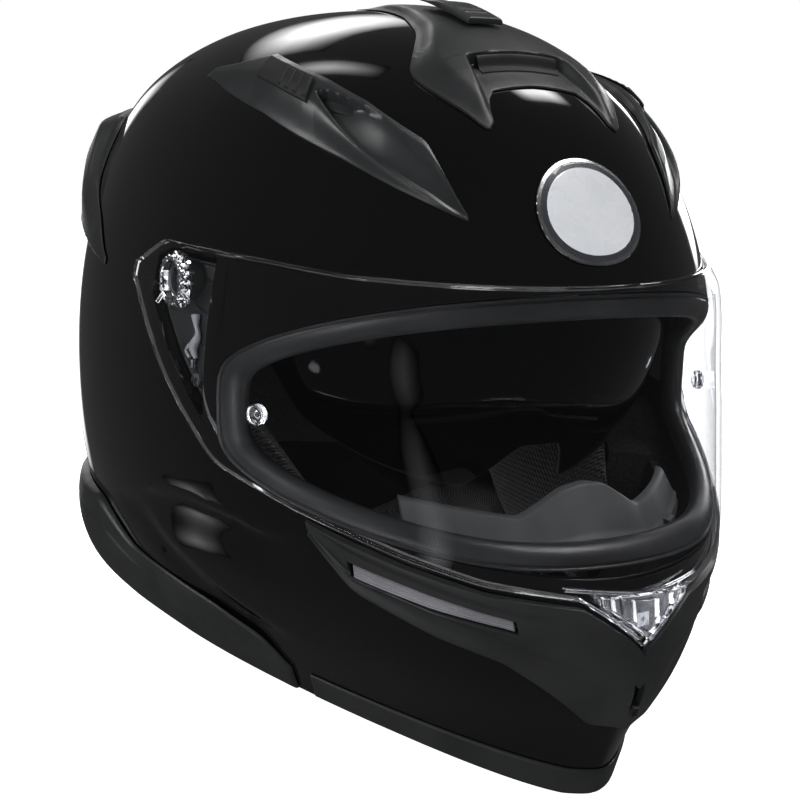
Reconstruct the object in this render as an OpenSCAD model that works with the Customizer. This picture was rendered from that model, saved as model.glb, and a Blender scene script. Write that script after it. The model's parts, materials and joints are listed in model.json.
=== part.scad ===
// Full-face road helmet with a clear visor, a drop-down sun visor and sliding vents.
// Front is -Y, up is +Z and +X is the wearer's left. Millimetres.

/* [Shell] */
// Overall width of the shell
shell_width = 250; // [220:1:290]
// Overall length of the shell
shell_length = 356; // [310:1:400]
// Overall height from the chin's lower edge to the crown
shell_height = 292; // [255:1:330]
// Thickness of the moulded shell
shell_wall = 3.8; // [2.5:0.1:5]

/* [Lining] */
// Gap between the shell and the foam liner
liner_gap = 0.8; // [0.4:0.1:2]
// Thickness of the impact foam
foam_wall = 25; // [18:0.5:30]
// Thickness of the comfort padding
pad_wall = 10; // [6:0.5:14]
// Thickness of a cheek pad in its middle
cheek_wall = 28; // [16:0.5:34]
// Thickness of a cheek pad at its edges
cheek_edge = 6; // [3:0.5:8]

/* [Eye port] */
// Half of the angle that the eye port opens round the face
port_angle = 67; // [60:0.5:70]
// Width of the rubber lip round the eye port
lip_width = 9; // [5:0.5:12]

/* [Visor] */
// Thickness of the clear visor
visor_wall = 2.2; // [1.6:0.1:3]
// Gap between the shell and the middle of the visor
visor_gap = 1; // [0.8:0.1:2]
// Extra gap under the visor's ears
ear_lift = 3.4; // [3:0.1:5]
// Radius of the two pins that hold an anti-fog insert
pin_radius = 4; // [3:0.1:5]
// Radius of the hub that the visor turns on
hub_radius = 7.5; // [5:0.1:9]
// Radial clearance of turning parts
turn_gap = 0.08; // [0.03:0.01:0.1]

/* [Sun visor] */
// Radius of the sun visor's lens about its hinge
lens_radius = 104; // [90:0.5:106]
// Thickness of the sun visor
lens_wall = 2; // [1.5:0.1:3]
// Angle of the lens from its top edge to its lower edge
lens_angle = 46; // [28:1:48]
// Radius of the sun visor's hinge pins
lens_pin = 2.4; // [1.5:0.1:3.5]

/* [Vents] */
// How far the vent bodies stand out of the shell
vent_height = 5; // [4:0.5:8]

/* [Strap] */
// Width of the chin strap webbing
strap_width = 24; // [18:1:28]
// Wire diameter of the D-rings
ring_wire = 4; // [3:0.1:5]

/* [Hidden] */
FN = 48;

// The plan outline at twelve heights, for a shell 250 wide, 356 long and 292 tall:
// [height, half width, reach to the front, reach to the back, roundness of the front]
STATIONS = [
    [0, 78, 165, 114, 1.5], [24, 92, 174, 132, 1.5], [53, 109, 186.5, 150, 1.65],
    [87, 120, 184, 161, 1.88], [123, 125, 171, 166, 2], [160, 125, 159, 168, 2.12],
    [196, 119, 150, 168, 2.15], [228, 107, 136, 163, 2.15], [255, 90, 113, 147, 2.15],
    [276, 64, 79, 108, 2.1], [288, 34, 41, 57, 2.05], [292, 0, 0, 0, 2]
];
BACK_ROUNDNESS = 2.1;
LAST = len(STATIONS) - 1;
kx = shell_width / 250;
ky = shell_length / 356;
kz = shell_height / 292;
// The crown's highest point lies this far behind the middle of the length
CENTRE_Y = 9.5 * ky;
GHOSTED = [
    2 * STATIONS[0] - STATIONS[1], each STATIONS,
    [for (k = [0:4]) (k > 0 && k < 4 ? -1 : 1) * STATIONS[LAST - 1][k]]
];

// Heights of the visor's two edges against the angle from the front
VISOR_LOW = [[0, 66], [13, 84], [28, 88], [39, 95], [53, 106], [66, 119], [76, 149], [86, 183]];
VISOR_TOP = [[0, 194], [45, 195], [60, 197], [80, 198], [86, 187]];
// Lower edge of the chin mask, and upper edge of the rear trim
MASK_LOW = [[0, 33], [12, 35], [20, 48], [27, 59], [36, 66], [47, 79], [53, 100]];
TRIM_TOP = [[60, 30], [63, 44], [72, 54], [82, 60], [93, 64], [102, 79], [180, 80]];
// Brow vent edges and spoiler edges
BROW_LOW = [[24, 216], [37, 226], [48, 235], [69, 249], [82, 255], [95, 261]];
BROW_TOP = [[24, 217.5], [31, 243], [44, 255], [54, 261], [75, 270], [95, 264]];
SPOILER_LOW = [[99, 181], [120, 190], [180, 196]];
SPOILER_TOP = [[99, 183], [106, 198], [120, 214], [127, 238], [180, 246]];

function ease(x, low, high) =
    let (t = max(0, min(1, (x - low) / (high - low)))) t * t * (3 - 2 * t);
function spline(a, b, c, d, t) = 0.5 * (2 * b + (c - a) * t + (2 * a - 5 * b + 4 * c - d) * t * t
    + (3 * b - a - 3 * c + d) * t * t * t);
function station(s) = let (i = min(floor(s), LAST - 1))
    spline(GHOSTED[i], GHOSTED[i + 1], GHOSTED[i + 2], GHOSTED[i + 3], s - i);
// Station coordinate at a height, by halving
function at_height(z, low = 0, high = LAST, steps = 13) = let (mid = (low + high) / 2)
    steps == 0 ? mid
    : station(mid)[0] < z ? at_height(z, mid, high, steps - 1) : at_height(z, low, mid, steps - 1);
// Point on the shell's outer surface: angle from the front towards +X, station coordinate
function skin(a, s) = let (c = station(s), ahead = cos(a) > 0,
        p = ahead ? c[4] : BACK_ROUNDNESS, reach = ahead ? c[2] : c[3])
    [kx * c[1] * sign(sin(a)) * pow(abs(sin(a)), 2 / p),
     CENTRE_Y - ky * reach * sign(cos(a)) * pow(abs(cos(a)), 2 / p), kz * c[0]];
function unit(v) = v / norm(v);
function outward(a, s) = let (m = max(0.05, min(LAST - 0.1, s)))
    unit(cross(skin(a + 1, m) - skin(a - 1, m), skin(a, m + 0.04) - skin(a, m - 0.04)));
// Point standing out of the surface by d
function above(a, s, d) = skin(a, s) + d * outward(a, s);
// Point at a depth below the surface, on a smaller shell of the same form. The deeper layers
// draw in more at the front and back, where the foam is thicker.
CROWN_FROM = 150;
function below(a, s, d) = let (p = skin(a, s), mid = kz * CROWN_FROM)
    [p[0] * (1 - d / (125 * kx)),
     CENTRE_Y + (p[1] - CENTRE_Y) * (1 - (d + 0.4 * max(0, d - shell_wall - 1)) / (165 * ky)),
     p[2] > mid ? mid + (p[2] - mid) * (1 - d / (142 * kz)) : p[2]];

// Lower rim: lowest at the chin, flat there, and rising towards the back
function rim_height(a) = max(0, 15.2 * (1 - cos(a)) + 19 * pow(sin(a), 2) - 1.2);
function port_middle(a) = 141.5 - 1.5 * pow(a / 55, 2);
function port_half(a) = 50.5 - 15.5 * pow(a / 55, 2);
PORT_END = port_angle - 0.5;
function port_reach(a) = port_half(a) * pow(1 - pow(min(abs(a), PORT_END) / port_angle, 5), 0.2);
function visor_low(a) = lookup(abs(a), VISOR_LOW);
function visor_top(a) = lookup(abs(a), VISOR_TOP);

// Closed thin solid between two grids of points with the same number of rows and columns.
// around joins the last column to the first, hole(i, j) leaves a cell out, and poles closes
// the last row on a point of each grid.
module slab(outer, inner, around = false, hole = function (i, j) false, poles = []) {
    n = len(outer[0]);
    rows = len(outer) - 1;
    cols = around ? n : n - 1;
    size = n * (rows + 1);
    filled = function (i, j) j >= 0 && j < rows && (around || (i >= 0 && i < cols))
        && !hole((i + cols) % cols, j);
    at = function (i, j, layer) layer * size + j * n + (i + n) % n;
    wall = function (a, b, c, d) [[a, b, c], [a, c, d]];
    faces = [
        for (j = [0:rows - 1], i = [0:cols - 1]) if (filled(i, j))
            let (a = at(i, j, 0), b = at(i + 1, j, 0), c = at(i + 1, j + 1, 0), d = at(i, j + 1, 0),
                e = a + size, f = b + size, g = c + size, h = d + size)
            each [
                each wall(a, d, c, b),
                each wall(e, f, g, h),
                each (filled(i, j - 1) ? [] : wall(a, b, f, e)),
                each (filled(i - 1, j) ? [] : wall(d, a, e, h)),
                each (filled(i, j + 1) || (len(poles) > 0 && j == rows - 1) ? [] : wall(c, d, h, g)),
                each (filled(i + 1, j) ? [] : wall(b, c, g, f))
            ],
        for (i = [0:cols - 1]) if (len(poles) > 0)
            let (d = at(i, rows, 0), c = at(i + 1, rows, 0))
            each [[d, 2 * size, c], [d + size, c + size, 2 * size + 1]]
    ];
    polyhedron([for (row = outer) each row, for (row = inner) each row, each poles], faces);
}

// Plate on the shell between two edge heights, over a list of angles
module surface_plate(angles, shares, low, top, out, in) {
    grid = function (depth) [for (t = shares) [for (a = angles)
        let (z = low(a) + (top(a) - low(a)) * t, s = at_height(z), d = depth(a, t))
        d >= 0 ? above(a, s, d) : below(a, s, -d)]];
    slab(grid(out), grid(in));
}

// Places children on the shell, with +Z outward and +Y up the surface
module on_shell(a, z, d = 0) {
    s = at_height(z);
    n = outward(a, s);
    up = unit([0, 0, 1] - n[2] * n);
    side = cross(up, n);
    p = above(a, s, d);
    multmatrix([
        [side[0], up[0], n[0], p[0]], [side[1], up[1], n[1], p[1]], [side[2], up[2], n[2], p[2]]
    ]) children();
}

// Frame on a deeper layer, with +Z outward
function frame_below(a, z, d) = let (s = at_height(z), p = below(a, s, d),
        n = unit(cross(below(a + 1, s, d) - below(a - 1, s, d),
            below(a, s + 0.04, d) - below(a, s - 0.04, d))),
        up = unit([0, 0, 1] - n[2] * n), side = cross(up, n))
    [[side[0], up[0], n[0], p[0]], [side[1], up[1], n[1], p[1]], [side[2], up[2], n[2], p[2]]];
module both_sides() {
    children();
    mirror([1, 0, 0]) children();
}
function steps(low, high, count) = [for (k = [0:count]) low + (high - low) * k / count];

// ---------------------------------------------------------------- shell
// Pocket in the shell under each visor ear, for the hinge plate
POCKET_FROM = 70;
POCKET_TO = 83;
POCKET_DEPTH = 8.6;
POCKET_EDGE = 3;
function row_a(a) = lookup(abs(a), [[0, 84], each [for (k = [2:7]) VISOR_LOW[k]]]);
function row_d(a) = lookup(abs(a), [each [for (k = [0:3]) VISOR_TOP[k]], [86, 192]]);
function row_b(a) = abs(a) <= PORT_END ? port_middle(a) - port_reach(a)
    : min(row_d(a) - 5, row_a(a) + POCKET_EDGE);
function row_c(a) = abs(a) <= PORT_END ? port_middle(a) + port_reach(a)
    : row_d(a) - POCKET_EDGE;
HALF_ANGLES = [0, 5, 10, 15, 20, 26, 32, 38, 44, 50, 55, 59, 62, 64.5, PORT_END, 68.5, 70, 74,
    79, 83, 84.5, 88, 93, 99, 106, 113, 121, 129, 138, 148, 158, 169];
SHELL_ANGLES = [each HALF_ANGLES, 180, for (k = [len(HALF_ANGLES) - 1:-1:1]) -HALF_ANGLES[k]];
BODY_ROWS = 7;
CROWN_ROWS = 9;
ROW_B = BODY_ROWS + 1;
ROW_C = ROW_B + 4;
function shell_stations(a) = let (low = rim_height(a), za = row_a(a), zb = row_b(a), zc = row_c(a),
        top = at_height(row_d(a)))
    [
        for (t = steps(0, 1, BODY_ROWS)) at_height(low + (za - low) * t),
        for (t = steps(0, 1, 4)) at_height(zb + (zc - zb) * t),
        for (t = steps(0, 1, CROWN_ROWS)) top + (LAST - 0.12 - top) * t
    ];
function in_pocket(a, j) = abs(a) >= POCKET_FROM && abs(a) <= POCKET_TO && j >= ROW_B && j <= ROW_C;

module outer_shell() color([0.03, 0.03, 0.035]) {
    columns = [for (a = SHELL_ANGLES) shell_stations(a)];
    rows = len(columns[0]) - 1;
    count = len(SHELL_ANGLES);
    last_port = search(PORT_END, HALF_ANGLES)[0];
    grid = function (extra) [for (j = [0:rows]) [for (i = [0:count - 1])
        let (a = SHELL_ANGLES[i], d = extra + (in_pocket(a, j) ? POCKET_DEPTH : 0))
        below(a, columns[i][j], d)]];
    slab(grid(0), grid(shell_wall), around = true,
        hole = function (i, j) (i < last_port || i >= count - last_port) && j >= ROW_B && j < ROW_C,
        poles = [skin(0, LAST), below(0, LAST, shell_wall)]);
}

// ---------------------------------------------------------------- lining
FOAM_OUT = shell_wall + liner_gap;
FOAM_IN = FOAM_OUT + foam_wall;
PAD_OUT = FOAM_IN + 1.5;
PAD_IN = PAD_OUT + pad_wall;
LENS_POCKET = 21 * kx;
POCKET_FOAM_OUT = POCKET_DEPTH + shell_wall + liner_gap;
CABLE_ANGLE = 100;
CABLE_GROOVE = 3.2;
function foam_low(a) = let (b = abs(a))
    lookup(b, [[0, 206], [50, 207], [66, 200], [74, 150], [80, 96], [100, 74], [180, 74]]);
// Depth of the foam's outer face: deeper at the forehead, where the sun visor stows
function foam_out(a, z) = let (b = abs(a),
        stow = (1 - ease(b, 82, 90)) * (1 - ease(z, 262, 272)),
        plate = (1 - ease(b, 86, 90)) * (1 - ease(z, 200, 206)),
        groove = max(0, 1 - abs(a - CABLE_ANGLE) / 3) * (1 - ease(z, 186, 192)))
    max(FOAM_OUT + (LENS_POCKET - FOAM_OUT) * stow, FOAM_OUT + (POCKET_FOAM_OUT - FOAM_OUT) * plate,
        FOAM_OUT + CABLE_GROOVE * min(1, 2 * groove));
FOAM_ANGLES = let (half = [0, 12, 24, 36, 46, 56, 66, 74, 78, 82, 86, 90, 97, 98.5, 100, 101.5, 103,
        112, 124, 138, 152, 166])
    [each half, 180, for (k = [len(half) - 1:-1:1]) -half[k]];

module dome(angles, low, rows, out, in) {
    stations = function (a, t) let (s = at_height(low(a))) s + (LAST - 0.3 - s) * t;
    grid = function (depth) [for (t = steps(0, 1, rows)) [for (a = angles)
        let (s = stations(a, t)) below(a, s, depth(a, station(s)[0]))]];
    slab(grid(out), grid(in), around = true,
        poles = [below(0, LAST, out(0, 292)), below(0, LAST, in(0, 292))]);
}
module eps_liner() color([0.13, 0.13, 0.14])
    dome(FOAM_ANGLES, function (a) foam_low(a), 12, function (a, z) foam_out(a, z),
        function (a, z) FOAM_IN);

CHIN_END = 60;
module chin_foam() color([0.13, 0.13, 0.14])
    surface_plate(steps(-CHIN_END, CHIN_END, 16), steps(0, 1, 4),
        function (a) rim_height(a) + 11, function (a) port_middle(a) - port_reach(a) - 10,
        function (a, t) -FOAM_OUT, function (a, t) -(FOAM_OUT + 14 - 4 * t));

module cheek_foam(side) color([0.13, 0.13, 0.14]) {
    angles = side > 0 ? steps(CHIN_END + 1.5, 74, 4) : steps(-74, -CHIN_END - 1.5, 4);
    surface_plate(angles, steps(0, 1, 3), function (a) 60,
        function (a) lookup(abs(a), [[60, 102], [66, 112], [70, 121], [74, 124]]),
        function (a, t) -FOAM_OUT, function (a, t) -FOAM_IN);
}
module cheek_foam_left() cheek_foam(1);
module cheek_foam_right() cheek_foam(-1);

PAD_LOW = 152;
module crown_pad() color([0.06, 0.06, 0.07])
    dome(steps(-180, 165, 23), function (a) lookup(abs(a), [[0, 212], [52, 208], [75, 172],
        [100, PAD_LOW], [180, 120]]), 8, function (a, z) PAD_OUT, function (a, z) PAD_IN);

module cheek_pad(side) color([0.06, 0.06, 0.07]) {
    angles = side > 0 ? steps(52, 122, 9) : steps(-122, -52, 9);
    swell = function (a, t) sin(180 * t) * sin(180 * (abs(a) - 52) / 70);
    surface_plate(angles, steps(0, 1, 6), function (a)
        lookup(abs(a), [[52, 50], [88, 50], [98, 70], [122, 78]]), function (a)
        lookup(abs(a), [[52, 98], [66, 122], [80, 142], [122, 134]]),
        function (a, t) -PAD_OUT,
        function (a, t) -(PAD_OUT + cheek_edge + (cheek_wall - cheek_edge) * pow(swell(a, t), 0.5)));
}
module cheek_pad_left() cheek_pad(1);
module cheek_pad_right() cheek_pad(-1);

module neck_roll() color([0.07, 0.07, 0.08]) {
    angles = steps(96, 264, 22);
    fall = function (a) 32.6 * ease(a, 104, 158) * (1 - ease(a, 202, 256));
    middle = function (a) let (b = a > 180 ? a - 360 : a) [b, rim_height(b) + 18 - fall(a)];
    ring = [for (a = angles) let (m = middle(a), s = at_height(max(2, m[1])),
            c = below(m[0], s, foam_wall - 5), inward = unit([-c[0], -c[1], 0]))
        [for (k = [0:11]) let (q = -30 * k)
            [c[0] + inward[0] * 11 * cos(q), c[1] + inward[1] * 11 * cos(q),
             kz * (m[1] + 0.5) + 15 * sin(q)]]];
    tube(ring);
}
// Closed tube through rings of points
module tube(rings) {
    n = len(rings[0]);
    last = len(rings) - 1;
    polyhedron([for (r = rings) each r], [
        [for (k = [0:n - 1]) n - 1 - k],
        [for (k = [0:n - 1]) last * n + k],
        for (j = [0:last - 1], k = [0:n - 1]) let (a = j * n + k, b = j * n + (k + 1) % n)
            each [[a, b, b + n], [a, b + n, a + n]]
    ]);
}

module chin_curtain() color([0.08, 0.08, 0.09])
    surface_plate(steps(-46, 46, 12), [0, 0.5, 1], function (a) rim_height(a) + 3,
        function (a) rim_height(a) + 9, function (a, t) -(shell_wall + 0.8),
        function (a, t) -(shell_wall + 3 + 26 * (1 - t)));

// ---------------------------------------------------------------- eye port
function port_ring(margin, depth, count = 56) = [for (k = [0:count - 1])
    let (q = 360 * k / count, a = (port_angle - margin / 1.95) * sign(cos(q)) * pow(abs(cos(q)), 0.42),
        edge = min(1, abs(a) / (port_angle - margin / 1.95)),
        z = port_middle(a) + sign(sin(q)) * (port_half(a) - margin) * pow(1 - pow(edge, 5), 0.2),
        s = at_height(z))
    depth >= 0 ? above(a, s, depth) : below(a, s, -depth)];
module eyeport_gasket() color([0.05, 0.05, 0.055]) {
    section = [[0.4, 0.3], [0.4, -7], [lip_width * 0.6, -8.5], [lip_width, -7], [lip_width, -3.5],
        [lip_width * 0.6, -0.6]];
    rings = [for (p = section) port_ring(p[0], p[1])];
    n = len(rings[0]);
    m = len(section);
    polyhedron([for (r = rings) each r], [
        for (j = [0:m - 1], k = [0:n - 1])
            let (a = j * n + k, b = j * n + (k + 1) % n, c = ((j + 1) % m) * n + (k + 1) % n,
                d = ((j + 1) % m) * n + k)
            each [[a, b, c], [a, c, d]]
    ]);
}

module breath_guard() color([0.2, 0.2, 0.21])
    surface_plate(steps(-38, 38, 14), steps(0, 1, 4), function (a) port_middle(a) - port_reach(a) + 1,
        function (a) lookup(abs(a), [[0, 119], [6, 117], [16, 107], [38, 112]]),
        function (a, t) -(12 + 6 * t), function (a, t) -(14.2 + 6 * t));

// ---------------------------------------------------------------- chin
MASK_FROM = 0.4;
MASK_OUT = 2.6;
SLOT_FROM = 24;
SLOT_TO = 47;
function mask_low(a) = lookup(abs(a), MASK_LOW);
function mask_top(a) = visor_low(a) - 2;
MASK_HALF = [0, 3, 6, 9, 12, 16, 20, SLOT_FROM, 30, 36, 42, SLOT_TO, 50, 52.5];
MASK_ANGLES = [for (k = [len(MASK_HALF) - 1:-1:1]) -MASK_HALF[k], each MASK_HALF];
BUTTON_HALF = 3;
module chin_mask() color([0.1, 0.1, 0.105]) {
    shares = [0, 0.2, 0.45, 0.75, 1];
    count = len(MASK_ANGLES);
    grid = function (d) [for (t = shares) [for (a = MASK_ANGLES)
        above(a, at_height(mask_low(a) + (mask_top(a) - mask_low(a)) * t), d)]];
    slab(grid(MASK_OUT), grid(MASK_FROM), hole = function (i, j)
        let (a = (MASK_ANGLES[i] + MASK_ANGLES[i + 1]) / 2)
        (abs(a) > SLOT_FROM && abs(a) < SLOT_TO && j == 2) || (abs(a) < BUTTON_HALF && j == 1));
}
module louver(side) color([0.16, 0.16, 0.17]) {
    angles = side > 0 ? steps(SLOT_FROM + 0.6, SLOT_TO - 0.6, 6)
        : steps(-SLOT_TO + 0.6, -SLOT_FROM - 0.6, 6);
    surface_plate(angles, [0, 0.5, 1],
        function (a) mask_low(a) + (mask_top(a) - mask_low(a)) * 0.45 + 0.5,
        function (a) mask_low(a) + (mask_top(a) - mask_low(a)) * 0.75 - 0.5,
        function (a, t) MASK_FROM + 0.7 + 1.2 * (1 - t), function (a, t) MASK_FROM);
}
module louver_left() louver(1);
module louver_right() louver(-1);
module chin_vent_button() color([0.08, 0.08, 0.085])
    on_shell(0, 42.2, 0.5) translate([-1.6, -2.1, 0]) cube([3.2, 4.2, 4.4]);
module chin_vent_filter() color([0.12, 0.12, 0.13])
    surface_plate(steps(-20, 20, 8), [0, 1], function (a) rim_height(a) + 22,
        function (a) rim_height(a) + 48, function (a, t) -(FOAM_OUT + 15.5),
        function (a, t) -(FOAM_OUT + 17));

RIM_OVER = 1.4;
module front_rim() color([0.05, 0.05, 0.055])
    surface_plate(steps(-57, 57, 22), [0, 0.4, 0.8, 1], function (a) rim_height(a) + 2.5,
        function (a) rim_height(a) + 13, function (a, t) RIM_OVER + 0.4 - t * 0.6, function (a, t) 0.3);

module rear_trim() color([0.09, 0.09, 0.095])
    surface_plate(steps(60, 300, 34), [0, 0.15, 0.5, 0.85, 1],
        function (a) rim_height(a) - 3 * ease(abs(a > 180 ? a - 360 : a), 62, 90),
        function (a) lookup(abs(a > 180 ? a - 360 : a), TRIM_TOP),
        function (a, t) let (b = abs(a > 180 ? a - 360 : a)) 1.6 + (1 + 5 * ease(b, 90, 125)) * sin(180 * t),
        function (a, t) 0.6);

module rear_spoiler() color([0.08, 0.08, 0.085])
    surface_plate(steps(99, 261, 26), [0, 0.3, 0.6, 0.85, 1],
        function (a) lookup(abs(a > 180 ? a - 360 : a), SPOILER_LOW),
        function (a) lookup(abs(a > 180 ? a - 360 : a), SPOILER_TOP),
        function (a, t) let (b = abs(a > 180 ? a - 360 : a))
            1.2 + 9.5 * ease(b, 99, 128) * (0.25 + 0.75 * ease(t, 0, 0.6)) * (1 - 0.7 * ease(t, 0.82, 1)),
        function (a, t) 0.5);

// ---------------------------------------------------------------- crown vent
// Height of the crown over a point of the plan, in shell units
function crown_station(x, y, low = 5, high = LAST, steps = 12) = let (mid = (low + high) / 2,
        c = station(mid), p = y < 0 ? c[4] : BACK_ROUNDNESS, reach = y < 0 ? c[2] : c[3],
        inside = pow(abs(x) / max(c[1], 0.01), p) + pow(abs(y) / max(reach, 0.01), p) < 1)
    steps == 0 ? mid
    : inside ? crown_station(x, y, mid, high, steps - 1) : crown_station(x, y, low, mid, steps - 1);
function crown(x, y) = [kx * x, CENTRE_Y + ky * y, kz * station(crown_station(x, y))[0]];
function crown_normal(x, y) = unit(cross(crown(x + 1.5, y) - crown(x - 1.5, y),
    crown(x, y + 1.5) - crown(x, y - 1.5)));
function over_crown(x, y, d) = crown(x, y) + d * crown_normal(x, y);
// Half width of the crown vent along its length, and its front edge
VENT_HALF = [[-108, 27], [-100, 33], [-90, 39], [-80, 42], [-66, 30], [-55, 22], [-30, 16], [20, 9]];
SLIDE_HALF = 8;
SLIDE_FROM = -63;
SLIDE_TO = -25;
module crown_vent_body() color([0.1, 0.1, 0.105]) {
    shares = [-1, -0.8, -0.5, -0.24, 0, 0.24, 0.5, 0.8, 1];
    lengths = [-108, -100, -90, -80, -72, -64, -55, -45, -35, -24, -10, 5, 20];
    place = function (u, y) [u * lookup(y, VENT_HALF), y + 6 * (1 - u * u) * ease(-y, 70, 108)];
    rise = function (u, y) 0.6 + (vent_height - 0.6) * (1 - pow(abs(u), 4)) * ease(y, -112, -84)
        * (1 - 0.8 * ease(y, -20, 20));
    grid = function (top) [for (y = lengths) [for (u = shares)
        let (p = place(u, y)) over_crown(p[0], p[1], top ? rise(u, y) : 0.3)]];
    slab(grid(true), grid(false));
}
module crown_vent_slider() color([0.07, 0.07, 0.075]) {
    lift = vent_height + 1.2;
    grid = function (d) [for (y = steps(SLIDE_FROM, SLIDE_TO, 6)) [for (x = [-SLIDE_HALF, 0, SLIDE_HALF])
        over_crown(x, y, d)]];
    slab(grid(lift + 2.4), grid(lift));
}

// ---------------------------------------------------------------- brow vents
function brow_low(a) = lookup(abs(a), BROW_LOW);
function brow_top(a) = lookup(abs(a), BROW_TOP);
function brow_rise(a, t) = 0.8 + 0.6 * sin(180 * t) + vent_height * pow(t, 0.7)
    * ease(abs(a), 24, 40) * (1 - ease(abs(a), 62, 92)) * (1 - 0.75 * ease(t, 0.8, 1));
module brow_vent(side) color([0.12, 0.12, 0.125]) {
    half = [24, 27, 30, 34, 38, 43, 48, 54, 60, 66, 72, 78, 84, 90, 95];
    angles = side > 0 ? half : [for (k = [len(half) - 1:-1:0]) -half[k]];
    surface_plate(angles, [0, 0.2, 0.5, 0.8, 1], function (a) brow_low(a), function (a) brow_top(a),
        function (a, t) brow_rise(a, t), function (a, t) 0.3);
}
module brow_vent_left() brow_vent(1);
module brow_vent_right() brow_vent(-1);
SLIDER_FROM = 0.4;
SLIDER_TO = 0.8;
module brow_slider(side) color([0.07, 0.07, 0.075]) {
    rise = function (a, t) brow_rise(a, SLIDER_FROM + (SLIDER_TO - SLIDER_FROM) * t);
    angles = side > 0 ? steps(58, 70, 4) : steps(-70, -58, 4);
    surface_plate(angles, [0, 0.5, 1], function (a) brow_low(a) + SLIDER_FROM * (brow_top(a) - brow_low(a)),
        function (a) brow_low(a) + SLIDER_TO * (brow_top(a) - brow_low(a)),
        function (a, t) rise(a, t) + 3.2, function (a, t) rise(a, t) + 0.9);
}
module brow_slider_left() brow_slider(1);
module brow_slider_right() brow_slider(-1);

// Plain round badge
BADGE_HALF = 11;
BADGE_HEIGHT = 19;
BADGE_MIDDLE = 220;
function badge_reach(a) = BADGE_HEIGHT * sqrt(1 - pow(min(abs(a), 0.98 * BADGE_HALF) / BADGE_HALF, 2));
module badge() color([0.75, 0.75, 0.76])
    surface_plate(steps(-0.98 * BADGE_HALF, 0.98 * BADGE_HALF, 14), steps(0, 1, 4),
        function (a) BADGE_MIDDLE - badge_reach(a), function (a) BADGE_MIDDLE + badge_reach(a),
        function (a, t) 1.3, function (a, t) 0.4);

// ---------------------------------------------------------------- clear visor
PIVOT_Y = -38;
PIVOT_Z = 184;
PIVOT = [0, CENTRE_Y + PIVOT_Y * ky, PIVOT_Z * kz];
pivot_x = let (c = station(at_height(PIVOT_Z))) kx * c[1] * pow(1 - pow(-PIVOT_Y / c[2], c[4]), 1 / c[4]);
function visor_lift(a, t) = visor_gap + ear_lift * ease(abs(a), 46, 72)
    + 2.2 * ease(t, 0.55, 0.9) * (1 - ease(t, 0.9, 1)) * (1 - ease(abs(a), 40, 70));
VISOR_HALF = [0, 3, 6, 10, 13, 18, 23, 28, 33, 39, 46, 53, 60, 66, 71, 76, 80, 83, 86];
VISOR_ANGLES = [for (k = [len(VISOR_HALF) - 1:-1:1]) -VISOR_HALF[k], each VISOR_HALF];
module visor() color([0.8, 0.85, 0.9, 0.3])
    surface_plate(VISOR_ANGLES, [0, 0.12, 0.3, 0.5, 0.7, 0.86, 0.92, 1], function (a) visor_low(a),
        function (a) visor_top(a), function (a, t) visor_lift(a, t) + visor_wall,
        function (a, t) visor_lift(a, t));

RING_FROM = pivot_x - 1.5;
RING_TO = pivot_x + visor_gap + ear_lift;
RING_RADIUS = hub_radius + 4;
module on_pivot(side) translate(PIVOT) rotate([0, side * 90, 0]) children();
module visor_ring(side) color([0.85, 0.88, 0.92])
    on_pivot(side) translate([0, 0, RING_FROM]) difference() {
        union() {
            cylinder(h = RING_TO - RING_FROM, r = RING_RADIUS - 1.2, $fn = FN);
            for (k = [0:15]) rotate(k * 22.5)
                translate([RING_RADIUS - 2, -0.7, 0]) cube([2, 1.4, 2]);
        }
        translate([0, 0, -1]) cylinder(h = RING_TO - RING_FROM + 2, r = hub_radius + turn_gap, $fn = FN);
    }
module visor_ring_left() visor_ring(1);
module visor_ring_right() visor_ring(-1);

PIN_ANGLE = 59;
PIN_HEIGHT = 140;
PIN_LENGTH = 3.5;
module pinlock_pins() color([0.8, 0.82, 0.85])
    both_sides() on_shell(PIN_ANGLE, PIN_HEIGHT, visor_lift(PIN_ANGLE, 0.5) - PIN_LENGTH)
        cylinder(h = PIN_LENGTH + 0.3, r = pin_radius, $fn = FN);

LATCH_OUT = visor_gap + visor_wall + 0.5;
module visor_latch() color([0.7, 0.75, 0.8])
    surface_plate(steps(-9, 9, 6), [0, 0.5, 1], function (a) 70 + abs(a) * 1.4, function (a) 86,
        function (a, t) LATCH_OUT + 2.4, function (a, t) LATCH_OUT);
module latch_striker() color([0.15, 0.15, 0.16])
    on_shell(0, 74, -1.5) difference() {
        translate([-3, 0, 0]) cube([6, 5, 1.8]);
        translate([0, 2.5, -1]) cylinder(h = 4, r = 1, $fn = FN);
    }

// ---------------------------------------------------------------- hinge plates
PLATE_IN = POCKET_DEPTH - 0.6;
PLATE_OUT = POCKET_DEPTH - 2.8;
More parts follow.
